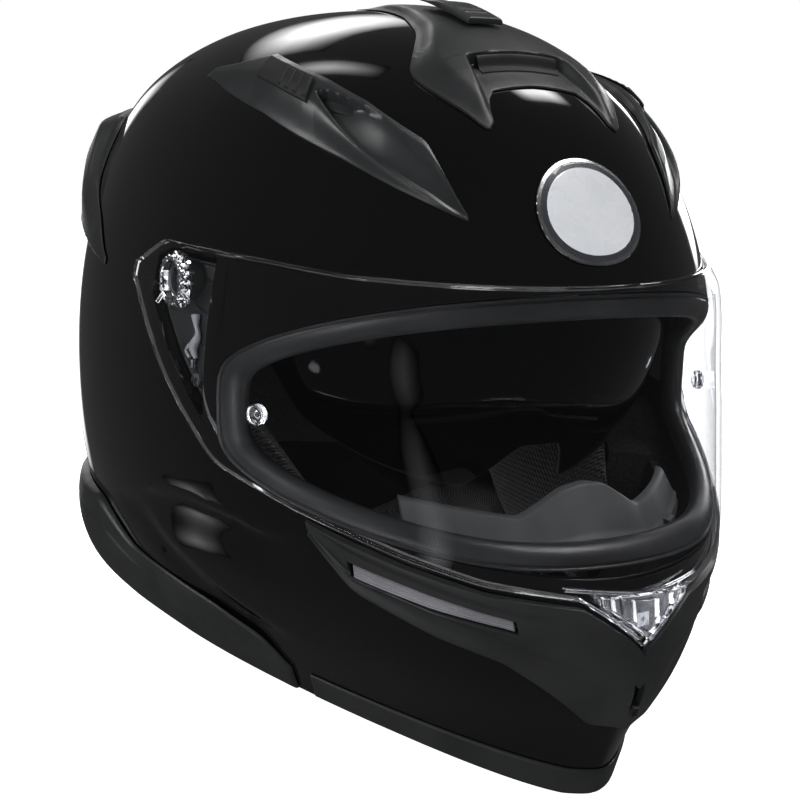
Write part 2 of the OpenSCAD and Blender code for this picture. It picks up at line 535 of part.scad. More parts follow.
// How far the hub ends below the inside of the visor's ear
HUB_SHORT = 3.2;
module base_plate(side) color([0.12, 0.12, 0.125]) {
    half = [POCKET_FROM + 0.8, 73, 76, 79, POCKET_TO - 0.8];
    angles = side > 0 ? half : [for (k = [len(half) - 1:-1:0]) -half[k]];
    surface_plate(angles, steps(0, 1, 5), function (a) row_b(a) + 1.2, function (a) row_c(a) - 1.2,
        function (a, t) -PLATE_OUT, function (a, t) -PLATE_IN);
    on_pivot(side) translate([0, 0, pivot_x - PLATE_OUT - 1.6])
        cylinder(h = PLATE_OUT + 1.6 + visor_gap + ear_lift - HUB_SHORT, r = hub_radius, $fn = FN);
}
module base_plate_left() base_plate(1);
module base_plate_right() base_plate(-1);
module plate_screws() color([0.55, 0.55, 0.57])
    both_sides() for (p = [[72.6, 146.5], [81.5, 189]])
        on_shell(p[0], p[1], 0) translate([0, 0, -PLATE_OUT + 0.3]) difference() {
            cylinder(h = 1.8, r = 2.6, $fn = FN);
            translate([0, 0, 1]) cylinder(h = 2, r = 1.2, $fn = 6);
        }
LEVER_ANGLE = 73.5;
module release_lever(side) color([0.35, 0.36, 0.38])
    on_shell(side * LEVER_ANGLE, 163, -PLATE_OUT + 0.5)
        linear_extrude(1.6) polygon([[-2, -8], [2, -8], [3, -2], [2, 8], [-1, 8], [-2, 0]]);
module release_lever_left() release_lever(1);
module release_lever_right() release_lever(-1);
module lever_springs() color([0.6, 0.6, 0.62])
    both_sides() on_shell(LEVER_ANGLE, 163, -PLATE_OUT + 0.3)
        translate([-1.5, -12.8, 0]) cube([3, 1.6, 1.4]);

// ---------------------------------------------------------------- sun visor
SUN_PIVOT = [0, CENTRE_Y - 30 * ky, 180 * kz];
// The lens is a slice of an ellipsoid that is round about its hinge line, so it slides past itself
lens_half = 104 * kx;
lens_reach = lens_radius * ky;
LENS_TOP = 4;
LENS_END = 87.5;
NOSE_RISE = 15;
BOSS_RADIUS = 6;
BOSS_WALL = 3.2;
BOSS_IN = lens_half - lens_wall;
LENS_ANGLES = steps(-LENS_END, LENS_END, 36);
// Angle of the lens's lower edge below its hinge line, with a notch for the nose
function lens_edge(turn) = lens_angle * (1 - 0.35 * ease(abs(turn), 50, 72))
    - NOSE_RISE * (1 - ease(abs(turn), 4, 15));
function lens_point(turn, fall, depth) = SUN_PIVOT + [(lens_half - depth) * sin(turn),
    -(lens_reach - depth) * cos(turn) * cos(fall), -(lens_reach - depth) * cos(turn) * sin(fall)];
module sun_visor() color([0.05, 0.05, 0.07, 0.6]) difference() {
    union() {
        grid = function (depth) [for (t = steps(1, 0, 8)) [for (q = LENS_ANGLES)
            lens_point(q, -LENS_TOP + (lens_edge(q) + LENS_TOP) * t, depth)]];
        slab(grid(0), grid(lens_wall));
        both_sides() translate(SUN_PIVOT + [BOSS_IN, 0, 0]) rotate([0, 90, 0])
            cylinder(h = BOSS_WALL, r = BOSS_RADIUS, $fn = FN);
    }
    translate(SUN_PIVOT) rotate([0, 90, 0])
        cylinder(h = 3 * lens_half, r = lens_pin + turn_gap, center = true, $fn = FN);
}
PIVOT_GAP = 0.3;
module sun_pivots() color([0.5, 0.5, 0.52])
    both_sides() translate(SUN_PIVOT + [BOSS_IN, 0, 0]) rotate([0, 90, 0]) {
        cylinder(h = BOSS_WALL + PIVOT_GAP + 1, r = lens_pin, $fn = FN);
        translate([0, 0, BOSS_WALL + PIVOT_GAP]) cylinder(h = 1.2, r = BOSS_RADIUS - 1, $fn = FN);
    }
// Lever on the left lower rim, which draws the sun visor's cable
LEVER_ANGLE_FROM = 66;
LEVER_UP = 35;
module sun_lever() color([0.1, 0.1, 0.105])
    on_shell(LEVER_ANGLE_FROM, LEVER_UP, 3.4) {
        translate([-6, -4, 0]) cube([12, 8, 2]);
        translate([-2, -4, 0]) cube([3, 8, 4.5]);
    }
CABLE_RADIUS = 1;
CABLE_PATH = [[68, 39], [74, 37], [80, 38], [87, 40], [94, 47], [98, 57], [CABLE_ANGLE, 68],
    for (z = [84, 100, 120, 140, 160, 176]) [CABLE_ANGLE, z]];
module sun_cable() color([0.2, 0.2, 0.2]) {
    path = [for (p = CABLE_PATH) below(p[0], at_height(p[1]), FOAM_OUT + 1.4)];
    last = len(path) - 1;
    tube([for (k = [0:last]) let (along = unit(path[min(k + 1, last)] - path[max(k - 1, 0)]),
            side = unit(cross(along, [1, 0, 0])), up = cross(side, along))
        [for (q = [0:45:315]) path[k] + CABLE_RADIUS * (cos(q) * side + sin(q) * up)]]);
}

// ---------------------------------------------------------------- chin strap
ANCHOR = [80, 66];
WEB = 2;
anchor_point = below(ANCHOR[0], at_height(ANCHOR[1]), 11);
strap_y = anchor_point[1] - strap_width / 2;
ring_z = 42 * kz;
ring_x = anchor_point[0] - 34;
RING_PITCH = ring_wire + 2;
PLATE_WALL = 1.4;
PLATE_HEIGHT = 14;
RIVET_RADIUS = 2.4;
module strap_plates() color([0.6, 0.6, 0.62])
    both_sides() difference() {
        translate([anchor_point[0] + 0.2, strap_y + 4, anchor_point[2] - PLATE_HEIGHT / 2])
            cube([PLATE_WALL, strap_width - 8, PLATE_HEIGHT]);
        rivet_hole();
    }
// Each rivet holds a strap and its plate to the shell's inner face
module strap_rivets() color([0.6, 0.6, 0.62])
    both_sides() translate([anchor_point[0] - WEB - 1.2, anchor_point[1], anchor_point[2]])
        rotate([0, 90, 0]) {
            cylinder(h = WEB + 4.4, r = RIVET_RADIUS, $fn = FN);
            cylinder(h = 1, r = 4.5, $fn = FN);
        }
// Outline of a ribbon along a path
function ribbon(path) = let (last = len(path) - 1,
        edge = function (k, side) let (v = unit(path[min(k + 1, last)] - path[max(k - 1, 0)]))
            path[k] + side * WEB / 2 * [-v[1], v[0]])
    [for (k = [0:last]) edge(k, 1), for (k = [last:-1:0]) edge(k, -1)];
// Webbing: a path in the XZ plane, extruded across the strap
module webbing(path) translate([0, strap_y + strap_width, 0]) rotate([90, 0, 0])
    linear_extrude(strap_width) polygon(ribbon(path));
module rivet_hole() translate([0, anchor_point[1], anchor_point[2]]) rotate([0, 90, 0])
    cylinder(h = 2 * shell_width, r = RIVET_RADIUS + turn_gap, center = true, $fn = FN);
strap_x = anchor_point[0] - WEB / 2;
// The short strap ends in two sewn loops for the D-rings
module strap_short() color([0.05, 0.05, 0.05]) difference() {
    union() {
        webbing([[strap_x, anchor_point[2] + 8], [strap_x, anchor_point[2] - 5], [strap_x - 5, ring_z + 9],
            [strap_x - 8, ring_z + 3], [strap_x - 14, ring_z], [ring_x, ring_z]]);
        for (k = [0, 1]) translate([ring_x - k * RING_PITCH, strap_y + strap_width, ring_z])
            rotate([90, 0, 0]) cylinder(h = strap_width, r = ring_wire / 2 + 1.4, $fn = FN);
    }
    for (k = [0, 1]) translate([ring_x - k * RING_PITCH, strap_y + strap_width + 1, ring_z])
        rotate([90, 0, 0]) cylinder(h = strap_width + 2, r = ring_wire / 2 + turn_gap, $fn = FN);
    rivet_hole();
}
STRAP_FLOOR = 8;
module strap_long() color([0.05, 0.05, 0.05]) difference() {
    webbing([[-strap_x, anchor_point[2] + 8], [-strap_x, anchor_point[2] - 5],
        for (p = [[0.94, 0.8], [0.85, 0.62], [0.6, 0.32], [0.42, 0.1], [0.3, 0.02], [0.2, 0], [-0.2, 0]])
            [-strap_x * p[0], STRAP_FLOOR + (anchor_point[2] - STRAP_FLOOR) * p[1]]]);
    rivet_hole();
}
// D-ring: a straight bar in the strap's loop and a bow hanging from its ends
RING_BOW = strap_width / 2 + ring_wire / 2 + 1.5;
module d_ring(k) color([0.6, 0.6, 0.62])
    translate([ring_x - k * RING_PITCH, anchor_point[1], ring_z]) {
        rotate([90, 0, 0]) cylinder(h = 2 * RING_BOW, r = ring_wire / 2, center = true, $fn = FN);
        rotate([0, 90, 0]) rotate(-90) rotate_extrude(angle = 180, $fn = 96)
            translate([RING_BOW, 0]) circle(r = ring_wire / 2, $fn = 24);
        for (side = [-1, 1]) translate([0, side * RING_BOW, 0]) sphere(r = ring_wire / 2, $fn = 24);
    }
module d_ring_inner() d_ring(1);
module d_ring_outer() d_ring(0);
module strap_end_stud() color([0.6, 0.6, 0.62])
    translate([10, anchor_point[1], STRAP_FLOOR + WEB / 2 + 0.1]) cylinder(h = 2, r = 5, $fn = FN);
module pad_studs() color([0.5, 0.5, 0.52])
    both_sides() for (p = [[93, 112], [109, 92], [114, 132]])
        multmatrix(frame_below(p[0], p[1], FOAM_IN)) cylinder(h = 3, r = 4, center = true, $fn = FN);

outer_shell();
eps_liner();
chin_foam();
cheek_foam_left();
cheek_foam_right();
crown_pad();
cheek_pad_left();
cheek_pad_right();
neck_roll();
chin_curtain();
eyeport_gasket();
breath_guard();
chin_mask();
louver_left();
louver_right();
chin_vent_button();
chin_vent_filter();
front_rim();
rear_trim();
rear_spoiler();
crown_vent_body();
crown_vent_slider();
brow_vent_left();
brow_vent_right();
brow_slider_left();
brow_slider_right();
badge();
visor();
visor_ring_left();
visor_ring_right();
pinlock_pins();
visor_latch();
latch_striker();
base_plate_left();
base_plate_right();
plate_screws();
release_lever_left();
release_lever_right();
lever_springs();
sun_visor();
sun_pivots();
sun_lever();
sun_cable();
strap_plates();
strap_rivets();
strap_short();
strap_long();
d_ring_inner();
d_ring_outer();
strap_end_stud();
pad_studs();
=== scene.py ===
import json
import math

import bpy
import numpy as np
from mathutils import Matrix, Vector

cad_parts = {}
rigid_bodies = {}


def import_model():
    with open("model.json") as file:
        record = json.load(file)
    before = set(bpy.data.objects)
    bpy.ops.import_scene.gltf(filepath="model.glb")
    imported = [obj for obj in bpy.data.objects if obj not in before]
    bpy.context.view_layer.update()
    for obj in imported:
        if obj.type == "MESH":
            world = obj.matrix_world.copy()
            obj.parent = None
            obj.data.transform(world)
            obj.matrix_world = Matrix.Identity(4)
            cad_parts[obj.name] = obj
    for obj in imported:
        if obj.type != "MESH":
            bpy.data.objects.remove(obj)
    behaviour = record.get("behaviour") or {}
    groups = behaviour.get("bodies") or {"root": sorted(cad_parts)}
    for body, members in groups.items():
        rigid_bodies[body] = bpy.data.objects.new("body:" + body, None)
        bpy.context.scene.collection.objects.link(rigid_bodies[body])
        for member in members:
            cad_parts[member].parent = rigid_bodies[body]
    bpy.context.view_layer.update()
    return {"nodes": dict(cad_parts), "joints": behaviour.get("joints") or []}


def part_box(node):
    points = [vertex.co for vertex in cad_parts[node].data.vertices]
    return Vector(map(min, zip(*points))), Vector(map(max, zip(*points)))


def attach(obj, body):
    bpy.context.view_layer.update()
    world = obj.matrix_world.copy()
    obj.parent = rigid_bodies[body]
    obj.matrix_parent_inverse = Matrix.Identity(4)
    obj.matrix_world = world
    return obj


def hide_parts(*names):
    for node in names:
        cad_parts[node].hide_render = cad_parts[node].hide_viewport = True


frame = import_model()

MM = 0.001
LEFT, RIGHT = 1, -1
SIDES = ((LEFT, "left"), (RIGHT, "right"))

# ------------------------------------------------------------------ the shell's surface
# The plan outline at twelve heights, in millimetres, for the 250 x 356 x 292 shell:
# [height, half width, reach to the front, reach to the back, roundness of the front]
STATIONS = np.array([
    [0, 78, 165, 114, 1.5], [24, 92, 174, 132, 1.5], [53, 109, 186.5, 150, 1.65],
    [87, 120, 184, 161, 1.88], [123, 125, 171, 166, 2], [160, 125, 159, 168, 2.12],
    [196, 119, 150, 168, 2.15], [228, 107, 136, 163, 2.15], [255, 90, 113, 147, 2.15],
    [276, 64, 79, 108, 2.1], [288, 34, 41, 57, 2.05], [292, 0, 0, 0, 2]], float)
LAST = len(STATIONS) - 1
BACK_ROUNDNESS = 2.1
shell_low, shell_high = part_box("outer_shell")
KX = round((shell_high.x - shell_low.x) / 0.250, 2)
KY = round((shell_high.y - shell_low.y) / 0.356, 2)
KZ = round(shell_high.z / 0.292, 2)
CENTRE_Y = 9.5 * KY
# Distances over which the skin is drawn in to make an inner surface
MIDDLE_Z, CROWN_REACH, HALF_WIDTH, HALF_LENGTH = 150, 142, 125, 165

VISOR_LOW = [[0, 66], [13, 84], [28, 88], [39, 95], [53, 106], [66, 119], [76, 149], [86, 183]]
VISOR_TOP = [[0, 194], [45, 195], [60, 197], [80, 198], [86, 187]]
MASK_LOW = [[0, 33], [12, 35], [20, 48], [27, 59], [36, 66], [47, 79], [53, 100]]
TRIM_TOP = [[60, 30], [63, 44], [72, 54], [82, 60], [93, 64], [102, 79], [180, 80]]
BROW_LOW = [[24, 216], [37, 226], [48, 235], [69, 249], [82, 255], [95, 261]]
BROW_TOP = [[24, 217.5], [31, 243], [44, 255], [54, 261], [75, 270], [95, 264]]
SPOILER_LOW = [[99, 181], [120, 190], [180, 196]]
SPOILER_TOP = [[99, 183], [106, 198], [120, 214], [127, 238], [180, 246]]


def lookup(x, table):
    xs, ys = zip(*table)
    return np.interp(np.abs(x), xs, ys)


def rounded(x, table, blur=2.5):
    """A lookup with its corners rounded off over a few units."""
    steps = np.linspace(-1, 1, 9)
    weights = np.exp(-2 * steps ** 2)
    total = sum(w * lookup(np.abs(x) + blur * k, table) for k, w in zip(steps, weights))
    return total / weights.sum()


def ease(x, low, high):
    t = np.clip((x - low) / (high - low), 0, 1)
    return t * t * (3 - 2 * t)


def spline(a, b, c, d, t):
    """A smooth curve from b to c, which heads from a and towards d."""
    return 0.5 * (2 * b + (c - a) * t + (2 * a - 5 * b + 4 * c - d) * t ** 2
                  + (3 * b - a - 3 * c + d) * t ** 3)


PROFILE_STEPS = 2401
PROFILE_BLUR = 0.24


def profile_table():
    """The stations as one fine table, splined and then blurred for smooth reflections."""
    mirrored = STATIONS[-2] * [1, -1, -1, -1, 1]
    knots = np.vstack([3 * STATIONS[0] - 2 * STATIONS[1], 2 * STATIONS[0] - STATIONS[1], STATIONS,
                       mirrored, STATIONS[-3] * [1, -1, -1, -1, 1]])
    s = np.linspace(-1, LAST + 1 - 1e-6, PROFILE_STEPS)
    i = np.floor(s).astype(int) + 2
    t = (s - np.floor(s))[:, None]
    a, b, c, d = (knots[np.clip(i + k, 0, len(knots) - 1)] for k in (-1, 0, 1, 2))
    values = spline(a, b, c, d, t)
    step = s[1] - s[0]
    reach = int(0.7 / step)
    kernel = np.exp(-0.5 * (np.arange(-reach, reach + 1) * step / PROFILE_BLUR) ** 2)
    kernel /= kernel.sum()
    smooth = np.stack([np.convolve(values[:, k], kernel, "same") for k in range(5)], 1)
    inside = (s >= -0.2) & (s <= LAST)
    return s[inside], smooth[inside]


FINE_S, FINE = profile_table()


def station(s):
    return [np.interp(s, FINE_S, FINE[:, k]) for k in range(5)]


def at_height(z):
    """The station coordinate at a height."""
    return np.interp(z, FINE[:, 0], FINE_S)


def height_at(s):
    return np.interp(s, FINE_S, FINE[:, 0])


def power(x, p):
    """A power that keeps the sign of x."""
    return np.sign(x) * np.abs(x) ** p


def skin(a, s):
    """Outer surface in millimetres: angle from the front towards +X in degrees, station."""
    a, s = np.broadcast_arrays(np.asarray(a, float), np.asarray(s, float))
    z, w, front, rear, pf = station(s)
    turn = np.radians(a)
    ahead = np.cos(turn) > 0
    p = np.where(ahead, pf, BACK_ROUNDNESS)
    reach = np.where(ahead, front, rear)
    return np.stack([KX * w * power(np.sin(turn), 2 / p),
                     CENTRE_Y - KY * reach * power(np.cos(turn), 2 / p), KZ * z], -1)


def unit(v):
    return v / np.maximum(np.linalg.norm(v, axis=-1, keepdims=True), 1e-9)


def outward(a, s):
    """Unit normal of the skin."""
    s = np.clip(s, 0.05, LAST - 0.08)
    return unit(np.cross(skin(a + 1, s) - skin(a - 1, s), skin(a, s + 0.05) - skin(a, s - 0.05)))


def above(a, s, d):
    return skin(a, s) + np.asarray(d)[..., None] * outward(a, s)


def below(a, s, d):
    """The skin drawn in by d, towards the middle of the helmet."""
    p = skin(a, s)
    middle = MIDDLE_Z * KZ
    deep = d + 0.4 * np.maximum(0, d - 4.8)
    lowered = middle + (p[..., 2] - middle) * (1 - d / (CROWN_REACH * KZ))
    z = np.where(p[..., 2] > middle, lowered, p[..., 2])
    return np.stack([p[..., 0] * (1 - d / (HALF_WIDTH * KX)),
                     CENTRE_Y + (p[..., 1] - CENTRE_Y) * (1 - deep / (HALF_LENGTH * KY)), z], -1)


def layer(a, s, d):
    """A point at height d over the surface, or under it where d is negative."""
    d = np.asarray(d, float) + np.zeros(np.broadcast(a, s).shape)
    return np.where(d[..., None] >= 0, above(a, s, np.maximum(d, 0)),
                    below(a, s, np.maximum(-d, 0)))


def rim_height(a):
    turn = np.radians(a)
    return np.maximum(0, 15.2 * (1 - np.cos(turn)) + 19 * np.sin(turn) ** 2 - 1.2)


PORT_ANGLE = 67
PORT_END = 66.5


def port_middle(a):
    return 141.5 - 1.5 * (a / 55) ** 2


def port_half(a):
    return 50.5 - 15.5 * (a / 55) ** 2


def port_reach(a):
    return port_half(a) * (1 - (np.minimum(np.abs(a), PORT_END) / PORT_ANGLE) ** 5) ** 0.2


def port_floor(a):
    """Height of the port's lower edge."""
    return port_middle(a) - port_reach(a)


# ------------------------------------------------------------------ making meshes
def merged(*groups):
    """All the values of some groups, sorted, each one once."""
    return np.unique(np.concatenate(groups))


def mirrored(angles, side):
    return angles if side > 0 else -angles[::-1]


def placed(name, data):
    """A new object in the scene."""
    item = bpy.data.objects.new(name, data)
    bpy.context.scene.collection.objects.link(item)
    return item


def box_of(name):
    """A node's box in millimetres."""
    return [np.array(corner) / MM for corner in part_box(name)]


def joint_place(name):
    return np.array(next(j for j in frame["joints"] if j["name"] == name)["pos_m"]) / MM


def fringe(low, high, count, edge):
    """Even steps from low to high, with extra ones within the edge's width of each end."""
    ends = np.array([0, 0.12, 0.3, 0.6, 1.0]) * edge
    return np.concatenate([low + ends, np.linspace(low + edge, high - edge, count)[1:-1],
                           (high - ends)[::-1]])


def mesh_piece(name, shape, material, body="helmet", slot=None, sharp=32):
    """A new object from a pair of points, in millimetres, and faces."""
    points, faces = shape
    mesh = bpy.data.meshes.new(name)
    mesh.from_pydata((np.asarray(points) * MM).tolist(), [], faces)
    mesh.validate()
    mesh.update()
    mesh.shade_smooth()
    mesh.set_sharp_from_angle(angle=math.radians(sharp))
    piece = placed(name, mesh)
    for m in material if isinstance(material, list) else [material]:
        mesh.materials.append(m)
    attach(piece, body)
    return piece


def solid_faces(rows, cols, around=False, keep=None, poles=False):
    """Faces of a closed thin solid between two grids, the outer one first."""
    index = np.arange(rows * cols).reshape(rows, cols)
    left = index if around else index[:, :-1]
    right = np.roll(index, -1, 1) if around else index[:, 1:]
    quads = np.stack([left[:-1], right[:-1], right[1:], left[1:]], -1)
    if keep is not None:
        quads = quads[keep]
    outer = quads.reshape(-1, 4).tolist()
    size = rows * cols
    if poles:
        outer += [[int(a), int(b), 2 * size] for a, b in zip(index[-1], np.roll(index[-1], -1))]
    partner = lambda v: v + size if v < size else 2 * size + 1
    edges = {(f[k], f[(k + 1) % len(f)]) for f in outer for k in range(len(f))}
    walls = [[q, p, partner(p), partner(q)] for p, q in edges if (q, p) not in edges]
    walls.sort()
    inner = [[partner(v) for v in reversed(f)] for f in outer]
    return outer + inner + walls


def solid(name, outer, inner, material, around=False, keep=None, poles=None, **extra):
    rows, cols = outer.shape[:2]
    points = np.concatenate([outer.reshape(-1, 3), inner.reshape(-1, 3)])
    if poles is not None:
        points = np.concatenate([points, np.asarray(poles)])
    faces = solid_faces(rows, cols, around, keep, poles is not None)
    return mesh_piece(name, (points, faces), material, **extra)


def border_distance(grid):
    """Distance in millimetres of each grid point from the nearest of the grid's four borders."""
    across = np.linalg.norm(np.diff(grid, axis=1), axis=-1)
    along = np.linalg.norm(np.diff(grid, axis=0), axis=-1)
    u = np.concatenate([np.zeros((grid.shape[0], 1)), np.cumsum(across, 1)], 1)
    v = np.concatenate([np.zeros((1, grid.shape[1])), np.cumsum(along, 0)], 0)
    return np.minimum(np.minimum(u, u[:, -1:] - u), np.minimum(v, v[-1:] - v))


def rounding(grid, edge, least):
    """Share of the full height at each point: least on the border, one past the edge's width."""
    near = np.minimum(border_distance(grid) / edge, 1)
    return least + (1 - least) * np.sqrt(1 - (1 - near) ** 2)


def plate(name, angles, shares, low, top, out, inn, material,
          edge=1.2, keep=None, row=None, **extra):
    """A piece that lies on the shell, between two edge heights, with rounded borders."""
    a, t = np.meshgrid(angles, shares)
    z = row(a, t) if row else low(a) + (top(a) - low(a)) * t
    s = at_height(z)
    high, base = out(a, t), inn(a, t)
    rise = (high - base) * rounding(skin(a, s), edge, 0.12)
    return solid(name, layer(a, s, base + rise), layer(a, s, base), material, keep=keep, **extra)


def constant(value):
    return lambda a, t=None: value + 0 * np.asarray(a, float)


def on_shell(a, z, d=0.0):
    """(place, side, up, out) of a frame on the shell, in millimetres."""
    s = at_height(z)
    n = outward(np.float64(a), s)
    up = unit(np.array([0, 0, 1.0]) - n[2] * n)
    return layer(np.float64(a), s, d), np.cross(up, n), up, n


def ring_faces(rings, sides, closed):
    """Faces between rings of points, one after the other; an open row of rings gets two caps."""
    total = rings * sides
    faces = []
    for j in range(rings if closed else rings - 1):
        for k in range(sides):
            a, b = j * sides + k, j * sides + (k + 1) % sides
            faces.append([a, b, (b + sides) % total, (a + sides) % total])
    if not closed:
        faces.append(list(range(sides))[::-1])
        faces.append([(rings - 1) * sides + k for k in range(sides)])
    return faces


def tube(path, radius, sides):
    """Points and faces of a tube along a path; radius may be a list."""
    path = np.asarray(path, float)
    count = len(path)
    radius = np.broadcast_to(radius, count)
    ahead = np.roll(path, -1, 0) - np.roll(path, 1, 0)
    ahead[0], ahead[-1] = path[1] - path[0], path[-1] - path[-2]
    ahead = unit(ahead)
    side = np.cross(ahead[0], [0.3, 0.2, 0.93])
    rings = []
    for k in range(count):
        side = unit(side - ahead[k] * (side @ ahead[k]))
        up = np.cross(ahead[k], side)
        q = np.linspace(0, 2 * np.pi, sides, endpoint=False)[:, None]
        rings.append(path[k] + radius[k] * (np.cos(q) * side + np.sin(q) * up))
    return np.concatenate(rings), ring_faces(count, sides, False)


def join_parts(parts):
    points, faces, start = [], [], 0
    for p, f in parts:
        points.append(p)
        faces += [[v + start for v in face] for face in f]
        start += len(p)
    return np.concatenate(points), faces


def lathe(profile, place, side, up, out, count):
    """A closed turned shape: profile of (radius, height) from its axis out and back to it."""
    turn = np.linspace(0, 2 * np.pi, count, endpoint=False)
    points = []
    for r, h in profile:
        points += [place + r * (math.cos(q) * side + math.sin(q) * up) + h * out for q in turn]
    return np.array(points), ring_faces(len(profile), count, False)


# ------------------------------------------------------------------ materials
# Millimetres between the repeats of each cloth
MESH_PITCH, KNIT_PITCH, WARP_PITCH, WEFT_PITCH = 2.6, 1.3, 1.5, 1.1


class Nodes:
    """Short calls for building one node material."""

    def __init__(self, name):
        self.material = bpy.data.materials.new(name)
        self.material.use_nodes = True
        self.tree = self.material.node_tree
        self.bsdf = self.tree.nodes["Principled BSDF"]
        self.out = self.tree.nodes["Material Output"]
        self.place = self.add("ShaderNodeTexCoord").outputs["Object"]

    def add(self, kind, **values):
        node = self.tree.nodes.new(kind)
        for key, value in values.items():
            setattr(node, key, value)
        return node

    def link(self, a, b):
        self.tree.links.new(a, b)

    def set(self, **values):
        for key, value in values.items():
            self.bsdf.inputs[key.replace("_", " ")].default_value = value

    def noise(self, scale, detail=3.0, rough=0.55):
        n = self.add("ShaderNodeTexNoise")
        n.inputs["Scale"].default_value = scale
        n.inputs["Detail"].default_value = detail
        n.inputs["Roughness"].default_value = rough
        self.link(self.place, n.inputs["Vector"])
        return n.outputs["Fac"]

    def cells(self, scale, feature="F1"):
        n = self.add("ShaderNodeTexVoronoi", feature=feature)
        n.inputs["Scale"].default_value = scale
        self.link(self.place, n.inputs["Vector"])
        return n.outputs["Distance"]

    def ramp(self, source, low, high, stops):
        r = self.add("ShaderNodeValToRGB")
        r.color_ramp.elements[0].position = low
        r.color_ramp.elements[1].position = high
        for element, colour in zip(r.color_ramp.elements, stops):
            element.color = (*colour, 1)
        self.link(source, r.inputs["Fac"])
        return r.outputs["Color"]

    def span(self, source, low, high, first=0.3, last=0.7):
        m = self.add("ShaderNodeMapRange")
        limits = {"From Min": first, "From Max": last, "To Min": low, "To Max": high}
        for key, value in limits.items():
            m.inputs[key].default_value = value
        self.link(source, m.inputs["Value"])
        return m.outputs["Result"]

    def bump(self, source, depth, before=None):
        b = self.add("ShaderNodeBump")
        b.inputs["Strength"].default_value = 1
        b.inputs["Distance"].default_value = depth
        self.link(source, b.inputs["Height"])
        if before is not None:
            self.link(before, b.inputs["Normal"])
        return b.outputs["Normal"]

    def colour(self, socket):
        self.link(socket, self.bsdf.inputs["Base Color"])

    def rough(self, socket):
        self.link(socket, self.bsdf.inputs["Roughness"])

    def normal(self, socket):
        self.link(socket, self.bsdf.inputs["Normal"])

    def math(self, operation, a, b=None):
        m = self.add("ShaderNodeMath", operation=operation)
        for k, value in enumerate((a, b)):
            if value is None:
                continue
            if isinstance(value, (int, float)):
                m.inputs[k].default_value = value
            else:
                self.link(value, m.inputs[k])
        return m.outputs[0]

    def times(self, a, b):
        return self.math("MULTIPLY", a, b)

    def plus(self, a, b):
        return self.math("ADD", a, b)

    def parts(self):
        s = self.add("ShaderNodeSeparateXYZ")
        self.link(self.place, s.inputs[0])
        return s.outputs


def gloss_lacquer():
    n = Nodes("gloss_lacquer")
    n.set(IOR=1.5, Coat_Weight=0.6, Coat_Roughness=0.015, Coat_IOR=1.5)
    n.colour(n.ramp(n.noise(6, 2), 0.3, 0.7, [(0.0016, 0.0016, 0.0018), (0.0026, 0.0026, 0.003)]))
    n.rough(n.span(n.noise(260, 4), 0.05, 0.085))
    n.normal(n.bump(n.noise(240, 1), 0.000004))
    return n.material


def moulded(name, dark, light, rough, grain=0.00005, scale=2600):
    """Matt moulded plastic with a fine spark-eroded grain."""
    n = Nodes(name)
    n.set(IOR=1.46)
    n.colour(n.ramp(n.noise(38, 5), 0.3, 0.72, [dark, light]))
    n.rough(n.span(n.noise(90, 4), rough - 0.06, rough + 0.06))
    n.normal(n.bump(n.noise(scale, 3, 0.7), grain))
    return n.material


def soft_rubber():
    n = Nodes("soft_rubber")
    n.set(IOR=1.5)
    n.colour(n.ramp(n.noise(30, 4), 0.3, 0.7, [(0.010, 0.0105, 0.011), (0.017, 0.0175, 0.0185)]))
    n.rough(n.span(n.noise(120, 5), 0.3, 0.42))
    n.normal(n.bump(n.noise(1900, 3), 0.000006))
    return n.material


def bead_foam():
    """Expanded foam: rounded beads pressed together."""
    n = Nodes("bead_foam")
    edge = n.cells(330, "DISTANCE_TO_EDGE")
    n.colour(n.ramp(edge, 0.0, 0.16, [(0.006, 0.006, 0.0065), (0.012, 0.012, 0.0125)]))
    n.rough(n.span(n.noise(60, 3), 0.7, 0.85))
    n.normal(n.bump(n.span(edge, 0, 1, 0, 0.2), 0.00015))
    return n.material


def spacer_mesh():
    """Knitted mesh with rows of small holes, for pieces that face sideways."""
    n = Nodes("side_mesh")
    _, y, z = n.parts()
    turn = 2 * math.pi / (MESH_PITCH * MM)
    rows = n.math("SINE", n.times(y, turn))
    cols = n.math("SINE", n.times(n.plus(z, n.times(rows, 0.0003)), turn * 1.18))
    holes = n.times(rows, cols)
    thread = n.noise(1500, 4)
    n.colour(n.ramp(n.plus(n.times(holes, 0.42), n.times(thread, 0.9)), 0.22, 0.75,
                    [(0.0035, 0.003325, 0.003325), (0.03, 0.0285, 0.0279)]))
    n.set(Sheen_Weight=0.12, Sheen_Roughness=0.5)
    n.rough(n.span(n.noise(200, 3), 0.75, 0.92))
    n.normal(n.bump(thread, 0.00008, n.bump(holes, 0.0006)))
    return n.material


def brushed_knit():
    """Soft brushed lining: fine courses with a loose nap."""
    n = Nodes("brushed_knit")
    x, y, z = n.parts()
    turn = 2 * math.pi / (KNIT_PITCH * MM)
    course = n.math("SINE", n.times(n.plus(z, n.times(n.noise(220, 2), 0.0012)), turn))
    wale = n.math("SINE", n.times(n.plus(x, y), turn))
    loops = n.times(course, wale)
    nap = n.noise(900, 5, 0.7)
    n.colour(n.ramp(n.plus(n.times(loops, 0.2), nap), 0.25, 0.8,
                    [(0.006, 0.006, 0.0065), (0.03, 0.029, 0.03)]))
    n.set(Sheen_Weight=0.25, Sheen_Roughness=0.45)
    n.rough(n.span(nap, 0.8, 0.95))
    n.normal(n.bump(nap, 0.0002, n.bump(loops, 0.00025)))
    return n.material


